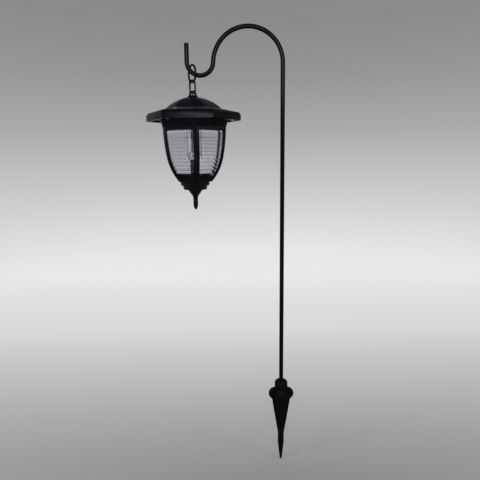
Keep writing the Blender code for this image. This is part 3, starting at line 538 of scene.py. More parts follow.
crown_centre = (COLLAR_RADIUS - COLLAR_ROUND, COLLAR_TOP - COLLAR_ROUND)
spike_profile = [(SOCKET_RADIUS, COLLAR_TOP)]
spike_profile += arc_points(crown_centre, COLLAR_ROUND, pi / 2, 0.0, SPIKE_STEPS)
spike_profile += [(COLLAR_RADIUS, 2 * LOBE_RADIUS)]
spike_profile += arc_points((0.0, LOBE_RADIUS), CORE_RADIUS, CORE_START, 0.0, SPIKE_STEPS)
spike_profile += [(CORE_FOOT_RADIUS, waist_top)]
bm = bmesh.new()
lathe(bm, spike_profile, ORIGIN)
plate(bm, fin_outline(True), Vector((1.0, 0.0, 0.0)), FIN_THICKNESS)
plate(bm, fin_outline(False), Vector((0.0, 1.0, 0.0)), FIN_THICKNESS)
spike = add_piece("finned_spike", bm, SPIKE_PLASTIC, "stand", "spike_plastic", "ground_spike")
soften(spike, FIN_EASE, FIN_SEGMENTS)
print("spike from", -SPIKE_DEPTH, "to", COLLAR_TOP)

# %% [markdown]
# ## The lantern's own measures
# Everything on the lantern is measured from its upright axis and from the eave, the lowest edge
# of the roof. The axis comes from the twist joint, so the dress stays true to the solids.
# Heights are positive above the eave, depths positive below it.

# %% Measures of the lantern
AXIS = Vector(joints["body_twist"]["pos_m"])
EAVE_Z = AXIS.z
ROOF_TURN = radians(-2.2)
BODY_TURN = ROOF_TURN + radians(-18.2)
COS30 = cos(radians(30))
SIXTH = pi / 3
RIDGE_SHARE = 0.268


def hexagon_row(radius, height, turn, offsets):
    """Points round a hexagon with eased corners.

    offsets are distances from a corner along its two edges; the nearest one sets how far the
    corner itself is eased back.
    """
    row = []
    for k in range(6):
        angle = turn + k * SIXTH
        corner = Vector((radius * cos(angle), radius * sin(angle), 0.0))
        back = heading(angle - 2 * SIXTH)
        on = heading(angle + 2 * SIXTH)
        ease = corner.normalized() * offsets[0] * RIDGE_SHARE
        points = [corner + back * d for d in reversed(offsets)]
        points.append(corner - ease)
        points += [corner + on * d for d in offsets]
        row += [(AXIS.x + p.x, AXIS.y + p.y, EAVE_Z + height) for p in points]
    return row


def round_row(radius, height, like):
    """A circle of points at the same angles as another row."""
    angles = [atan2(y - AXIS.y, x - AXIS.x) for x, y, _ in like]
    return circle(AXIS, radius, EAVE_Z + height, angles)


print("lantern axis", tuple(round(v, 4) for v in AXIS))

# %% [markdown]
# ## Roof
# The roof is a moulded shell: a low hexagonal dome on a sloping brim, with a rounded eave. A
# loft of eased hexagons gives crisp hips that still catch a line of light. The section runs down
# the outside and back up inside, so the shell has its real wall.

# %% Draw the roof in section
EAVE_RADIUS = 0.0672
EAVE_HEIGHT = 0.0107
EAVE_ROUND = 0.0034
DOME_FOOT = 0.0403
DOME_ROUND = 0.058
LAND_RADIUS = 0.009
BRIM_FALL = radians(12.3)
ROOF_WALL = 0.0026
DOME_ROWS = 18
INNER_ROWS = 8
EAVE_ROWS = 1

brim_slope = tan(BRIM_FALL)
brim_at_dome = EAVE_HEIGHT + (EAVE_RADIUS - DOME_FOOT) * brim_slope
dome_centre = brim_at_dome - sqrt(DOME_ROUND ** 2 - DOME_FOOT ** 2)
land_height = dome_centre + sqrt(DOME_ROUND ** 2 - LAND_RADIUS ** 2)
eave_drop = EAVE_ROUND * tan((pi / 2 - BRIM_FALL) / 2)


def roof_section():
    """(corner radius, height) points: down the dome and brim, round the eave, back up inside."""
    top = acos(LAND_RADIUS / DOME_ROUND)
    foot = acos(DOME_FOOT / DOME_ROUND)
    outer = arc_points((0.0, dome_centre), DOME_ROUND, top, foot, DOME_ROWS)
    eave_centre = (EAVE_RADIUS - EAVE_ROUND, EAVE_HEIGHT - eave_drop)
    outer += arc_points(eave_centre, EAVE_ROUND, pi / 2 - BRIM_FALL, 0.0, EAVE_ROWS)
    inner_radius = EAVE_RADIUS - ROOF_WALL / COS30
    inner_round = DOME_ROUND - ROOF_WALL
    inner_foot = acos((DOME_FOOT - ROOF_WALL) / inner_round)
    inner_top = acos(LAND_RADIUS / inner_round)
    brim_under = EAVE_HEIGHT + (EAVE_RADIUS - inner_radius) * brim_slope - ROOF_WALL
    inner = [(EAVE_RADIUS, 0.0), (inner_radius, 0.0), (inner_radius, brim_under)]
    inner += arc_points((0.0, dome_centre), inner_round, inner_foot, inner_top, INNER_ROWS)
    return outer + inner


section = roof_section()
print("roof section:", len(section), "points, dome land at", round(land_height * 1000, 1), "mm")

# %% [markdown]
# ## Seats for the solar panels
# Each of the two panels lies in one facet of the brim. A seat is the flat of that facet with its
# own three directions, and it tells where the corners of pocket and panel go.

# %% Lay out the seats
BACK_FACET = 1
FRONT_FACET = 4
POINTS_A_HIP = 3


class BrimSeat:
    """The flat of one brim facet: level across, up its slope, and out of it.

    column is the facet's place in the roof's loft, between two hips.
    """

    def __init__(self, facet):
        self.column = facet * POINTS_A_HIP + POINTS_A_HIP - 1
        angle = ROOF_TURN + (facet + 0.5) * SIXTH
        away = heading(angle)
        tilt = atan(brim_slope / COS30)
        reach = (DOME_FOOT + EAVE_RADIUS - EAVE_ROUND) / 2
        height = EAVE_HEIGHT + (EAVE_RADIUS - reach) * brim_slope
        self.middle = Vector((AXIS.x, AXIS.y, EAVE_Z + height)) + away * reach * COS30
        self.across = Vector((away.y, -away.x, 0.0))
        self.up = -away * cos(tilt) + UP * sin(tilt)
        self.out = self.up.cross(self.across)

    def rectangle(self, width, length, out):
        """Corners in turn: low left, low right, high right, high left, seen from outside."""
        x = width / 2
        y = length / 2
        corners = ((-x, -y), (x, -y), (x, y), (-x, y))
        return [self.middle + self.across * a + self.up * b + self.out * out for a, b in corners]


SEATS = {"front": BrimSeat(FRONT_FACET), "back": BrimSeat(BACK_FACET)}
for name, seat in SEATS.items():
    print(name, "seat at", tuple(round(v, 4) for v in seat.middle))

# %% [markdown]
# ## Roof with its pockets
# The loft leaves out the two brim faces that carry a panel. Each is then closed round a shallow
# pocket, so the panel really lies in the roof.

# %% Mould the roof
HIP_EASE = 0.0008
EAVE_EASE = 0.0004
SHANK_ROOM = 0.0023
PANEL_WIDTH = 0.038
PANEL_LENGTH = 0.016
PANEL_THICKNESS = 0.0013
PANEL_GAP = 0.0003
BRIM_ROW = DOME_ROWS + 1


def cut_pocket(bm, rings, seat):
    """Close a brim facet round the panel's pocket, then build the pocket's walls and floor."""
    column = seat.column
    upper = rings[BRIM_ROW]
    lower = rings[BRIM_ROW + 1]
    rim = [lower[column + 1], lower[column], upper[column], upper[column + 1]]
    room = (PANEL_WIDTH + 2 * PANEL_GAP, PANEL_LENGTH + 2 * PANEL_GAP)
    edge = [bm.verts.new(point) for point in seat.rectangle(*room, 0.0)]
    floor = [bm.verts.new(point) for point in seat.rectangle(*room, -PANEL_THICKNESS)]
    if (rim[0].co - edge[0].co).length > (rim[0].co - edge[1].co).length:
        rim = [rim[1], rim[0], rim[3], rim[2]]
    for k in range(4):
        j = (k + 1) % 4
        bm.faces.new((rim[k], rim[j], edge[j], edge[k]))
        bm.faces.new((edge[k], edge[j], floor[j], floor[k]))
    bm.faces.new(floor)


def in_panel(row, column):
    return row == BRIM_ROW and column in [seat.column for seat in SEATS.values()]


roof_rows = [hexagon_row(r, z, ROOF_TURN, [HIP_EASE]) for r, z in section]
roof_rows.insert(0, round_row(SHANK_ROOM, land_height, roof_rows[0]))
roof_rows.append(round_row(SHANK_ROOM, land_height - ROOF_WALL, roof_rows[0]))
bm = bmesh.new()
roof_rings = loft(bm, roof_rows, close_rows=True, skip=in_panel)
for seat in SEATS.values():
    cut_pocket(bm, roof_rings, seat)
roof = add_piece("roof_moulding", bm, LANTERN_BLACK, "cap", "lantern_black", "roof_shell")
soften(roof, EAVE_EASE)
print("roof:", len(roof_rows), "rows,", len(SEATS), "pockets")

# %% [markdown]
# ## Solar panels
# Each panel is a small board under clear resin: dark blue strips of silicon side by side, joined
# by two bright ribbons. Strips and ribbons are thin raised slabs, so the gaps between them are
# real lines. The resin's gloss is a coat on the same finish.

# %% Lay the solar panels
STRIP_COUNT = 8
STRIP_GAP = 0.0005
STRIP_RISE = 0.00006
PANEL_BORDER = 0.0014
RIBBON_WIDTH = 0.0005
RIBBON_RISE = 0.00007
RIBBON_PLACES = (-0.25, 0.25)
PANEL_PROUD = 0.0003
PANEL_EASE = 0.0002


def slab(bm, seat, middle, width, length, low, high):
    """A block on a brim facet, between two heights out of it."""
    rows = []
    for out in (high, low):
        corners = seat.rectangle(width, length, out)
        rows.append([corner + seat.across * middle[0] + seat.up * middle[1] for corner in corners])
    cap_ends(bm, loft(bm, rows))


def make_panel(name, seat):
    board = bmesh.new()
    floor = PANEL_PROUD - PANEL_THICKNESS
    slab(board, seat, (0.0, 0.0), PANEL_WIDTH, PANEL_LENGTH, floor, PANEL_PROUD)
    strip = (PANEL_WIDTH - 2 * PANEL_BORDER + STRIP_GAP) / STRIP_COUNT
    length = PANEL_LENGTH - 2 * PANEL_BORDER
    strip_top = PANEL_PROUD + STRIP_RISE
    for k in range(STRIP_COUNT):
        across = (k + 0.5 - STRIP_COUNT / 2) * strip
        slab(board, seat, (across, 0.0), strip - STRIP_GAP, length, PANEL_PROUD, strip_top)
    cells = SMALL_FINISHES["cell_blue"]
    panel = add_piece(f"cell_panel_{name}", board, cells, "cap", "solar_cells", f"solar_panel_{name}")
    soften(panel, PANEL_EASE)
    ribbons = bmesh.new()
    span = PANEL_WIDTH - 2 * PANEL_BORDER
    for share in RIBBON_PLACES:
        place = (0.0, share * length)
        slab(ribbons, seat, place, span, RIBBON_WIDTH, PANEL_PROUD, PANEL_PROUD + RIBBON_RISE)
    add_piece(f"cell_ribbons_{name}", ribbons, SMALL_FINISHES["ribbon_tin"], "cap", "plated_steel")


for name, seat in SEATS.items():
    make_panel(name, seat)
print("panels:", list(SEATS), "with", STRIP_COUNT, "strips each")

# %% [markdown]
# ## Hanging loop
# A wire bow stands on a low domed foot on top of the roof; its shank goes through to a nut. Bow
# and foot are one cast piece, so they share a mesh.

# %% Cast the hanging loop
LOOP_WIRE = 0.0026
LOOP_WIDTH = 0.0110
LOOP_RISE = 0.0082
LOOP_TURN = ROOF_TURN + radians(-30)
LOOP_STEPS = 24
FOOT_RADIUS = 0.0075
FOOT_HEIGHT = 0.0033
FOOT_TOP = radians(80)
FOOT_GAP = 0.0003
SHANK_RADIUS = 0.002
loop_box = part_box("hanging_loop")
land_z = EAVE_Z + land_height
foot_z = land_z + FOOT_GAP
bow_half = LOOP_WIDTH / 2
bow_across = heading(LOOP_TURN)
bow_shape = arc_points((0.0, land_z + LOOP_RISE - bow_half), bow_half, 0.0, pi, LOOP_STEPS)
bow_shape = [(bow_half, foot_z)] + bow_shape + [(-bow_half, foot_z)]
bow_path = [Vector((AXIS.x, AXIS.y, z)) + bow_across * x for x, z in bow_shape]
foot_dome = arc_points((0.0, 0.0), 1.0, FOOT_TOP, 0.0, LOOP_STEPS // 2)
foot_profile = [(FOOT_RADIUS * x, foot_z + FOOT_HEIGHT * z) for x, z in foot_dome]
foot_profile += [(SHANK_RADIUS, foot_z), (SHANK_RADIUS, loop_box[0].z)]
bm = bmesh.new()
sweep(bm, bow_path, [LOOP_WIRE / 2] * len(bow_path), WIRE_SIDES)
lathe(bm, foot_profile, AXIS)
add_piece("cast_loop", bm, ROD_PAINT, "cap", "rod_paint", "hanging_loop")
print("loop top at", round(loop_box[1].z, 4))

# %% [markdown]
# ## Screws under the cap
# Three pan-head screws hold the bottom plate. The cross in each head is pressed in: on four
# narrow sectors the inner rings of the head drop down into the recess.

# %% Turn the screws
SCREW_STEPS = 48
HEAD_RADIUS = 0.0028
HEAD_FLAT = 0.00195
HEAD_HEIGHT = 0.0016
SCREW_RADIUS = 0.0015
CROSS_REACH = 0.0015
CROSS_HEART = 0.0005
CROSS_DEPTH = 0.0009
CROSS_HALF = radians(13)
CROSS_WALL = 0.98
CROSS_NARROWING = 0.9


def in_cross(angle):
    """True where an angle lies on one of the four arms of the cross."""
    quarter = pi / 2
    off = (angle + quarter / 2) % quarter - quarter / 2
    return abs(off) < CROSS_HALF


def cross_screw(bm, low, high, middle):
    """Rings from the tip of the shank down round the head and into its recess."""
    angles = turn_angles(SCREW_STEPS)
    seat = low + HEAD_HEIGHT
    profile = [(SCREW_RADIUS / 3, high), (SCREW_RADIUS, high - SCREW_RADIUS), (SCREW_RADIUS, seat)]
    profile += [(HEAD_RADIUS, seat), (HEAD_RADIUS, low + HEAD_HEIGHT / 2), (HEAD_FLAT, low)]
    rows = [circle(middle, r, z, angles) for r, z in profile]
    rows.append(circle(middle, CROSS_REACH, low, angles))
    for reach in (CROSS_REACH * CROSS_WALL, CROSS_HEART):
        row = []
        for (x, y, z), a in zip(circle(middle, reach, low, angles), angles):
            row.append((x, y, z + CROSS_DEPTH if in_cross(a) else z))
        rows.append(row)
    rows.append(circle(middle, CROSS_HEART * CROSS_NARROWING, low + CROSS_DEPTH, angles))
    cap_ends(bm, loft(bm, rows))


steel = SMALL_FINISHES["plated_steel"]
for k in (1, 2, 3):
    low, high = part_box(f"base_screw_{k}")
    bm = bmesh.new()
    cross_screw(bm, low.z, high.z, (low + high) / 2)
    add_piece(f"cross_screw_{k}", bm, steel, "cap", "plated_steel", f"base_screw_{k}")
print("screws: 3, head", round(HEAD_RADIUS * 2000, 1), "mm")

# %% [markdown]
# ## Curve of the bell
# The lantern's body curves in like a bell: a long flat arc from the shoulder, then a tighter one
# that takes over at the same slope. Ribs and windows both follow it.

# %% Draw the bell
SHOULDER_RADIUS = 0.0495
UPPER_ROUND = 0.222
UPPER_TOP = 0.005
BREAK_DEPTH = 0.0491
LOWER_ROUND = 0.072
CAGE_FOOT = 0.0842


def bell_radius(depth):
    """Corner radius of the bell at a depth below the eave: two arcs that meet smoothly."""
    if depth <= UPPER_TOP:
        return SHOULDER_RADIUS
    if depth <= BREAK_DEPTH:
        return SHOULDER_RADIUS - UPPER_ROUND + sqrt(UPPER_ROUND ** 2 - (depth - UPPER_TOP) ** 2)
    lean = asin((BREAK_DEPTH - UPPER_TOP) / UPPER_ROUND)
    start = SHOULDER_RADIUS - UPPER_ROUND * (1 - cos(lean))
    centre = start - LOWER_ROUND * cos(lean)
    centre_depth = BREAK_DEPTH - LOWER_ROUND * sin(lean)
    return centre + sqrt(LOWER_ROUND ** 2 - (depth - centre_depth) ** 2)


print("corner radius at the bowl", round(bell_radius(CAGE_FOOT) * 1000, 1), "mm")

# %% [markdown]
# ## Bell cage
# Six ribs run down from a hexagonal collar to a small bowl. The cage is lofted as one skin with
# the windows left out, then given its wall by Solidify, so ribs, collar and bowl flow into one
# another without seams.

# %% Mould the cage
RIB_HALF = 0.0046
RIDGE_EASE = 0.0006
CAGE_WALL = 0.0018
CAGE_EASE = 0.00035
COLLAR_TOP_RADIUS = 0.0526
COLLAR_FOOT_RADIUS = 0.0501
COLLAR_FOOT = 0.0091
COLLAR_LEDGE = 0.0006
WINDOW_TOP = 0.013
WINDOW_FOOT = 0.0771
FLANGE_SEAT = 0.04486
STUD_HOLE = 0.0023
BELL_ROWS = 26
BOWL_ROWS = 4
FIRST_WINDOW_ROW = 4
POINTS_A_CORNER = 5

cage_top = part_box("lantern_cage")[1].z - EAVE_Z
outline = [
    (FLANGE_SEAT, cage_top),
    (COLLAR_TOP_RADIUS, cage_top),
    (COLLAR_FOOT_RADIUS, COLLAR_LEDGE - COLLAR_FOOT),
]
window_rows = even_steps(WINDOW_TOP, WINDOW_FOOT, BELL_ROWS)
bowl_rows = even_steps(WINDOW_FOOT, CAGE_FOOT, BOWL_ROWS)[1:]
outline += [(bell_radius(d), -d) for d in [COLLAR_FOOT] + window_rows + bowl_rows]
cage_rows = [hexagon_row(r, z, BODY_TURN, [RIDGE_EASE, RIB_HALF]) for r, z in outline]
cage_rows.append(round_row(STUD_HOLE, -CAGE_FOOT, cage_rows[-1]))


def in_window(row, column):
    """True for the faces between two ribs, from the collar down to the bowl."""
    between_ribs = column % POINTS_A_CORNER == POINTS_A_CORNER - 1
    return between_ribs and FIRST_WINDOW_ROW <= row < FIRST_WINDOW_ROW + BELL_ROWS


bm = bmesh.new()
loft(bm, cage_rows, skip=in_window)
cage = add_piece("bell_cage", bm, LANTERN_BLACK, "body", "lantern_black", "lantern_cage")
wall = cage.modifiers.new("wall", "SOLIDIFY")
wall.thickness = CAGE_WALL
wall.offset = -1.0
wall.use_even_offset = True
soften(cage, CAGE_EASE)
print("cage:", len(cage_rows), "rows of", len(cage_rows[0]), "points")

# %% [markdown]
# ## Bayonet flange
# The cap's neck goes through a round mouth in the top of the cage, and its three lugs through
# three notches. A twist then locks them under this flange. The mouth is a circle of radius one
# with a ripple that gives its true radius, so mouth and notches come together.

# %% Cut the flange
NECK_HOLE = 0.0363
NOTCH_REACH = 0.0388
NOTCH_HALF = radians(8.7)
FLANGE_RADIUS = 0.0449
FLANGE_THICKNESS = 0.0025
FLANGE_SINK = 0.0001
FLANGE_STEPS = 96


def mouth_radius(angle):
    """The mouth's radius at an angle, wider at the three notches."""
    third = 2 * SIXTH
    off = (angle - BODY_TURN - pi / 2 + third / 2) % third - third / 2
    return NOTCH_REACH if abs(off) < NOTCH_HALF else NECK_HOLE


flange_top = EAVE_Z + cage_top - FLANGE_SINK
flange_foot = EAVE_Z + cage_top - FLANGE_THICKNESS
rim_angles = [a + BODY_TURN for a in turn_angles(FLANGE_STEPS)]
flange_rows = [circle(AXIS, FLANGE_RADIUS, z, rim_angles) for z in (flange_top, flange_foot)]
flange_rows += [circle(AXIS, 1.0, z, rim_angles, mouth_radius) for z in (flange_foot, flange_top)]
bm = bmesh.new()
loft(bm, flange_rows, close_rows=True)
flange = add_piece("bayonet_flange", bm, LANTERN_BLACK, "body", "lantern_black")
soften(flange, CAGE_EASE)
print("flange mouth", round(NECK_HOLE * 2000, 1), "mm across, 3 notches")

# %% [markdown]
# ## Grooved windows
# Each window is a clear strip that follows the bell behind the ribs, thinned at its top to slide
# in behind the collar. Its inner face carries level grooves that spread the light. They are real
# grooves in the mesh, because glass shows them only where they truly bend the light.

# %% Mould the windows
GROOVE_COUNT = 16
GROOVE_DEPTH = 0.0002
GROOVE_HALF = 0.0005
TAPER_FOOT = -0.0195
TAPER_SLOPE = 0.17
TAPER_MOST = 0.0011
PANE_THICKNESS = 0.0016
PANE_GAP = 0.0003
PANE_INSET = 0.0016
TAN30 = tan(radians(30))
pane_low, pane_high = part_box("window_pane_1")
pane_top = pane_high.z - EAVE_Z
pane_foot = pane_low.z - EAVE_Z


def taper(height):
    """How much thinner a pane is near its top, where it slides in behind the collar."""
    return min(TAPER_MOST, max(0.0, (height - TAPER_FOOT) * TAPER_SLOPE))


def pane_levels():
    """(height, depth cut away inside) of every level, from the top of a pane to its foot."""
    levels = [(pane_top, 0.0)]
    for height in even_steps(pane_top, pane_foot, GROOVE_COUNT)[1:-2]:
        levels += [(height + GROOVE_HALF, 0.0), (height, GROOVE_DEPTH), (height - GROOVE_HALF, 0.0)]
    levels.append((pane_foot, 0.0))
    return [(height, groove + taper(height)) for height, groove in levels]


def pane_row(height, groove, angle):
    """Four corners of a level cut through a pane: outer left and right, inner right and left."""
    outer = bell_radius(-height) * COS30 - CAGE_WALL - PANE_GAP
    inner = outer - PANE_THICKNESS + groove
    half = outer * TAN30 - PANE_INSET
    out = heading(angle)
    side = Vector((-out.y, out.x, 0.0))
    base = Vector((AXIS.x, AXIS.y, EAVE_Z + height))
    corners = ((outer, -half), (outer, half), (inner, half), (inner, -half))
    return [base + out * r + side * s for r, s in corners]


for k in range(6):
    angle = BODY_TURN - pi / 2 + k * SIXTH
    bm = bmesh.new()
    cap_ends(bm, loft(bm, [pane_row(height, groove, angle) for height, groove in pane_levels()]))
    node = f"window_pane_{k + 1}"
    add_piece(f"grooved_window_{k + 1}", bm, WINDOW_CLEAR, "body", "clear_plastic", node)
print("windows: 6 with", GROOVE_COUNT - 2, "grooves each")

# %% [markdown]
# ## Light tube
# A clear tube hangs under the cap and guides the lamp's light down to a lens. It is turned from
# the section of its wall, so that it stays open inside.

# %% Turn the tube
TUBE_WALL = 0.0016
RIM_EASE = 0.0004
tube_low, tube_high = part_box("light_tube")
tube_radius = (tube_high.x - tube_low.x) / 2
tube_inner = tube_radius - TUBE_WALL
tube_section = [
    (tube_radius - RIM_EASE, tube_high.z),
    (tube_radius, tube_high.z - RIM_EASE),
    (tube_radius, tube_low.z + RIM_EASE),
    (tube_radius - RIM_EASE, tube_low.z),
    (tube_inner + RIM_EASE, tube_low.z),
    (tube_inner, tube_low.z + RIM_EASE),
    (tube_inner, tube_high.z - RIM_EASE),
    (tube_inner + RIM_EASE, tube_high.z),
]
bm = bmesh.new()
lathe(bm, tube_section, AXIS, hollow=True)
add_piece("clear_tube", bm, TUBE_CLEAR, "cap", "clear_plastic", "light_tube")
print("tube radius", round(tube_radius * 1000, 1), "mm")

# %% [markdown]
# ## Scalloped lens
# The lens plugs the tube's foot and throws the light sideways in sparkles. A ripple on the
# lathe's radius scallops it, so its edge breaks the light as cut glass does.

# %% Turn the lens
SCALLOPS = 12
SCALLOP_DEPTH = 0.12
LENS_STEPS = 96
LENS_SHOULDER = 0.0006
LENS_DISH = 0.0010
LENS_BAND = 0.0006
LENS_DROP = 0.0030
lens_low, lens_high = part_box("spread_lens")
lens_radius = (lens_high.x - lens_low.x) / 2
plug_radius = tube_inner - PANE_GAP
lens_rim = tube_low.z - PANE_GAP
lens_mid = lens_rim - LENS_DROP
lens_profile = [
    (plug_radius / 2, lens_high.z - LENS_DISH),
    (plug_radius, lens_high.z),
    (plug_radius, lens_rim),
    (tube_radius - LENS_SHOULDER, lens_rim),
    (lens_radius, lens_mid + LENS_BAND),
    (lens_radius, lens_mid - LENS_BAND),
    (tube_radius, lens_low.z),
]


def scallop(angle):
    return 1.0 - SCALLOP_DEPTH * (0.5 + 0.5 * cos(SCALLOPS * angle))


bm = bmesh.new()
lathe(bm, lens_profile, AXIS, LENS_STEPS, ripple=scallop)
add_piece("scalloped_lens", bm, TUBE_CLEAR, "cap", "clear_plastic", "spread_lens")
print("lens radius", round(lens_radius * 1000, 1), "mm with", SCALLOPS, "scallops")

# %% [markdown]
# ## Base tiers
# Under the cage sit two turned tiers, like a plinth upside down. A quarter round makes the lower
# edge of each, and a loop adds them to one profile for the lathe.

# %% Turn the base
BASE_GAP = 0.0003
TIERS = ((0.0208, 0.0058), (0.0172, 0.0056))
TIER_TAPER = 0.0014
TIER_LIP = 0.0004
TIER_STEPS = 96
TURN_STEPS = 10

base_top = EAVE_Z - CAGE_FOOT - BASE_GAP
tier_profile = []
level = base_top
for radius, height in TIERS:
    tier_profile += [(radius - TIER_LIP, level), (radius, level - TIER_LIP)]
    for a in even_steps(0.0, pi / 2, TURN_STEPS):
        inward = TIER_TAPER * (1 - cos(a))
        tier_profile.append((radius - inward, level - height / 2 * (1 + sin(a))))
    level -= height
bm = bmesh.new()
lathe(bm, tier_profile, AXIS, TIER_STEPS)
add_piece("turned_tiers", bm, LANTERN_BLACK, "body", "lantern_black", "base_cup")
print("tiers:", len(TIERS), "from", round(base_top, 4), "down to", round(level, 4))

# %% [markdown]
# ## Finial
# The finial flares under the base, narrows to a waist and ends in a drop. Its profile is a slightly
# swelling cone, a curve that flattens out into the waist, and an oval that starts at the waist.

# %% Turn the finial
FLARE_RADIUS = 0.0098
FLARE_LIP = 0.0009
FLARE_HEIGHT = 0.0078
FLARE_SWELL = 0.0004
NECK_RADIUS = 0.0049
NECK_LENGTH = 0.0086
WAIST_RADIUS = 0.0033
BEAD_RADIUS = 0.0035
BEAD_LENGTH = 0.0124
TIP_RADIUS = 0.0002
FINIAL_STEPS = 48
finial_top = level - BASE_GAP
neck_z = finial_top - FLARE_HEIGHT
waist_z = neck_z - NECK_LENGTH
finial_profile = [(FLARE_RADIUS - TIER_LIP, finial_top), (FLARE_RADIUS, finial_top - TIER_LIP)]
for share in even_steps(0.0, 1.0, TURN_STEPS):
    swell = FLARE_SWELL * sin(pi * share)
    radius = FLARE_RADIUS + (NECK_RADIUS - FLARE_RADIUS) * share + swell
    finial_profile.append((radius, finial_top - FLARE_LIP - (FLARE_HEIGHT - FLARE_LIP) * share))
for share in even_steps(0.0, 1.0, TURN_STEPS)[1:-1]:
    radius = WAIST_RADIUS + (NECK_RADIUS - WAIST_RADIUS) * (1 - share) ** 3
    finial_profile.append((radius, neck_z - NECK_LENGTH * share))
lean = acos(WAIST_RADIUS / BEAD_RADIUS)
rise = BEAD_LENGTH / (1 + sin(lean))
for a in even_steps(lean, -pi / 2, 2 * TURN_STEPS):
    radius = max(TIP_RADIUS, BEAD_RADIUS * cos(a))
    finial_profile.append((radius, waist_z + rise * (sin(a) - sin(lean))))
bm = bmesh.new()
lathe(bm, finial_profile, AXIS, FINIAL_STEPS)
add_piece("drop_finial_turned", bm, LANTERN_BLACK, "body", "lantern_black", "drop_finial")
print("finial tip at", round(waist_z - BEAD_LENGTH, 4))

# %% [markdown]
# ## Shown greys
# The backdrop should look much the same whatever the lamps do. So it shows a painted grey, shade
# included, an emission that only the camera, gloss and glass see and that lights nothing.

# %% Helpers for shown greys
def grey_ramp(finish, value, span, stops):
    """Map a length from nothing to the span onto a few greys."""
    nodes = finish.node_tree.nodes
    spread = nodes.new("ShaderNodeMapRange")
    spread.inputs["From Max"].default_value = span
    ramp = nodes.new("ShaderNodeValToRGB")
    while len(ramp.color_ramp.elements) < len(stops):
        ramp.color_ramp.elements.new(0.5)
    for element, (position, grey) in zip(ramp.color_ramp.elements, stops):
        element.position = position
        element.color = (grey, grey, grey, 1.0)
    finish.node_tree.links.new(value, spread.inputs["Value"])
    finish.node_tree.links.new(spread.outputs["Result"], ramp.inputs["Fac"])
    return ramp


def shown_rays(finish):
    """1 for rays from the camera, off gloss or through glass, and 0 for the rest."""
    nodes = finish.node_tree.nodes
    links = finish.node_tree.links
    path = nodes.new("ShaderNodeLightPath")
    total = path.outputs["Is Camera Ray"]
    for name in ("Is Glossy Ray", "Is Transmission Ray"):
        larger = nodes.new("ShaderNodeMath")
        larger.operation = "MAXIMUM"
        links.new(total, larger.inputs[0])
        links.new(path.outputs[name], larger.inputs[1])
        total = larger.outputs["Value"]
    return total


print("grey helpers ready")

# %% [markdown]
# ## The stage's grey
# The light stands in a pale round sweep. Its grey carries painted shade: it darkens up the wall
# and on the floor under the object. A dim matt grey underneath takes the lamps' light, so the
# object's shadow still falls on the floor.

# %% Mix the stage's grey
FLOOR_GAP = 0.0002
FLOOR_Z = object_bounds()[0].z - FLOOR_GAP
STAGE_COVE = 0.25
STAGE_MATT = 0.12
STAGE_ROUGHNESS = 0.9
FLOOR_STRETCH = 0.18
# Painted shade: the floor's shown grey is darkest just in front of the object's foot, and the wall's grey darkens
# towards its top.
FLOOR_SHADE_Y = -0.06
FLOOR_SHADE_GREYS = ((0.0, 0.12), (0.27, 0.378), (0.517, 0.587), (1.0, 0.74))
FLOOR_SPAN = 1.2
WALL_SHADE_GREYS = ((0.0, 0.665), (0.5, 0.327), (0.75, 0.225), (1.0, 0.185))
WALL_SPAN = 1.0
MIX_A = 6
MIX_B = 7
MIX_COLOUR = 2


def stage_finish():
    """A matt grey, with a shown grey and painted shade that depend on the place in the room."""
    finish, shader = new_finish("stage_shaded_grey", [STAGE_MATT] * 3, STAGE_ROUGHNESS)
    nodes = finish.node_tree.nodes
    links = finish.node_tree.links
    place = nodes.new("ShaderNodeNewGeometry")
    flatten = nodes.new("ShaderNodeVectorMath")
    flatten.operation = "MULTIPLY_ADD"
    flatten.inputs[1].default_value = (FLOOR_STRETCH, 1.0, 0.0)
    flatten.inputs[2].default_value = (0.0, -FLOOR_SHADE_Y, 0.0)
    away = nodes.new("ShaderNodeVectorMath")
    away.operation = "LENGTH"
    split = nodes.new("ShaderNodeSeparateXYZ")
    links.new(place.outputs["Position"], flatten.inputs[0])
    links.new(flatten.outputs["Vector"], away.inputs[0])
    links.new(place.outputs["Position"], split.inputs["Vector"])
    floor = grey_ramp(finish, away.outputs["Value"], FLOOR_SPAN, FLOOR_SHADE_GREYS)
    wall = grey_ramp(finish, split.outputs["Z"], WALL_SPAN, WALL_SHADE_GREYS)
    blend = nodes.new("ShaderNodeMapRange")
    blend.interpolation_type = "SMOOTHSTEP"
    blend.inputs["From Min"].default_value = FLOOR_Z
    blend.inputs["From Max"].default_value = FLOOR_Z + STAGE_COVE / 2
    links.new(split.outputs["Z"], blend.inputs["Value"])
    grey = nodes.new("ShaderNodeMix")
    grey.data_type = "RGBA"
    links.new(blend.outputs["Result"], grey.inputs["Factor"])
    links.new(floor.outputs["Color"], grey.inputs[MIX_A])
    links.new(wall.outputs["Color"], grey.inputs[MIX_B])
    links.new(grey.outputs[MIX_COLOUR], shader.inputs["Emission Color"])
    links.new(shown_rays(finish), shader.inputs["Emission Strength"])
    return finish


STAGE_SHADED_GREY = stage_finish()
print("stage grey mixed, floor at", round(FLOOR_Z, 4))
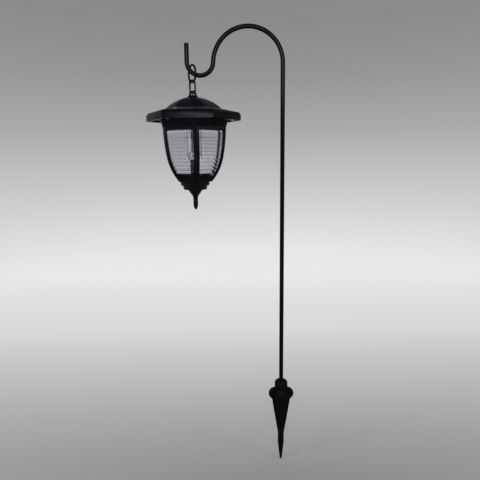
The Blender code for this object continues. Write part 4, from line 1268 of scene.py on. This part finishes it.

# %% [markdown]
# ## Stage
# The floor rises through a cove into a wall all round, so that every view has the same quiet
# ground. It isn't part of the object.

# %% Build the stage
STAGE_RADIUS = 1.6
STAGE_HEIGHT = 1.5
STAGE_STEPS = 96
COVE_STEPS = 16
FLOOR_RADII = (0.001, 0.5)
cove_centre = (STAGE_RADIUS - STAGE_COVE, FLOOR_Z + STAGE_COVE)
stage_profile = [(radius, FLOOR_Z) for radius in FLOOR_RADII]
stage_profile += arc_points(cove_centre, STAGE_COVE, -pi / 2, 0.0, COVE_STEPS)
stage_profile += [(STAGE_RADIUS, STAGE_HEIGHT)]
bm = bmesh.new()
stage_rings = loft(bm, [circle(ORIGIN, r, z, turn_angles(STAGE_STEPS)) for r, z in stage_profile])
bm.faces.new(stage_rings[0])
stage = smooth_object("stage_sweep", bm, STAGE_SHADED_GREY)
print("stage:", STAGE_RADIUS, "m to its wall,", STAGE_HEIGHT, "m high")

# %% [markdown]
# ## Lamps
# Five soft boxes and a dim grey sky light the object. The key box at the upper left and the top
# box are large and give about half of the light; they are kept out of reflections, so that they
# don't turn the black roof grey. Black things show mostly what they mirror, so the other three
# each have a job there: the front box shows in the fascia and along the rod, and can't be seen
# through glass; the tube strip draws the bright lines in the clear tube; and the right strip runs
# down the ribs and the pole.

# %% Hang the lamps
def soft_box(name, place, target, size, power, mirrored=True, through_glass=True):
    """An area lamp that faces a target; sizes in metres, power in watts."""
    data = bpy.data.lights.new(name, "AREA")
    data.shape = "RECTANGLE"
    data.size, data.size_y = size
    data.energy = power
    lamp = bpy.data.objects.new(name, data)
    lamp.location = place
    lamp.rotation_euler = (Vector(target) - Vector(place)).to_track_quat("-Z", "Y").to_euler()
    lamp.visible_glossy = mirrored
    lamp.visible_transmission = through_glass
    scene.collection.objects.link(lamp)


POLE_MIDDLE = (0.0, 0.0, 0.3)
soft_box("key_box", (-1.1, -0.7, 0.95), AXIS, (0.8, 0.8), 10.0, mirrored=False)
soft_box("top_box", (-0.1, 0.2, 1.4), POLE_MIDDLE, (1.2, 1.2), 7.0, mirrored=False)
soft_box("tube_strip", (-1.19, -0.545, 0.50), AXIS, (0.08, 0.6), 2.5)
soft_box("right_strip", (1.1, -0.6, 0.7), POLE_MIDDLE, (0.30, 0.9), 6.0)
soft_box("front_box", (-0.12, -1.38, 0.74), AXIS, (0.65, 0.25), 13.0, through_glass=False)

SKY_GREY = 0.46
SKY_LEVEL = 0.5
world = bpy.data.worlds.new("dim_sky")
world.use_nodes = True
sky = world.node_tree.nodes["Background"]
sky.inputs["Color"].default_value = (SKY_GREY, SKY_GREY, SKY_GREY, 1.0)
sky.inputs["Strength"].default_value = SKY_LEVEL
scene.world = world

# %% [markdown]
# ## Finish of the solids that stay
# Solids whose shape is already right keep their mesh and only get a finish, chosen by the
# record's own material slot.

# %% Give the other solids their finish
SLOT_FINISHES = {
    "spike_plastic": SPIKE_PLASTIC,
    "rod_paint": ROD_PAINT,
    "lantern_black": LANTERN_BLACK,
    "clear_plastic": TUBE_CLEAR,
    "base_plastic": SPIKE_PLASTIC,
    "solar_cells": SMALL_FINISHES["cell_blue"],
    **SMALL_FINISHES,
}
for subpart in frame["record"]["subparts"]:
    solid = frame["nodes"][subpart["node"]]
    solid.data.materials.clear()
    solid.data.materials.append(SLOT_FINISHES[subpart["material_slot"]])
print("finished solids:", len(frame["nodes"]))
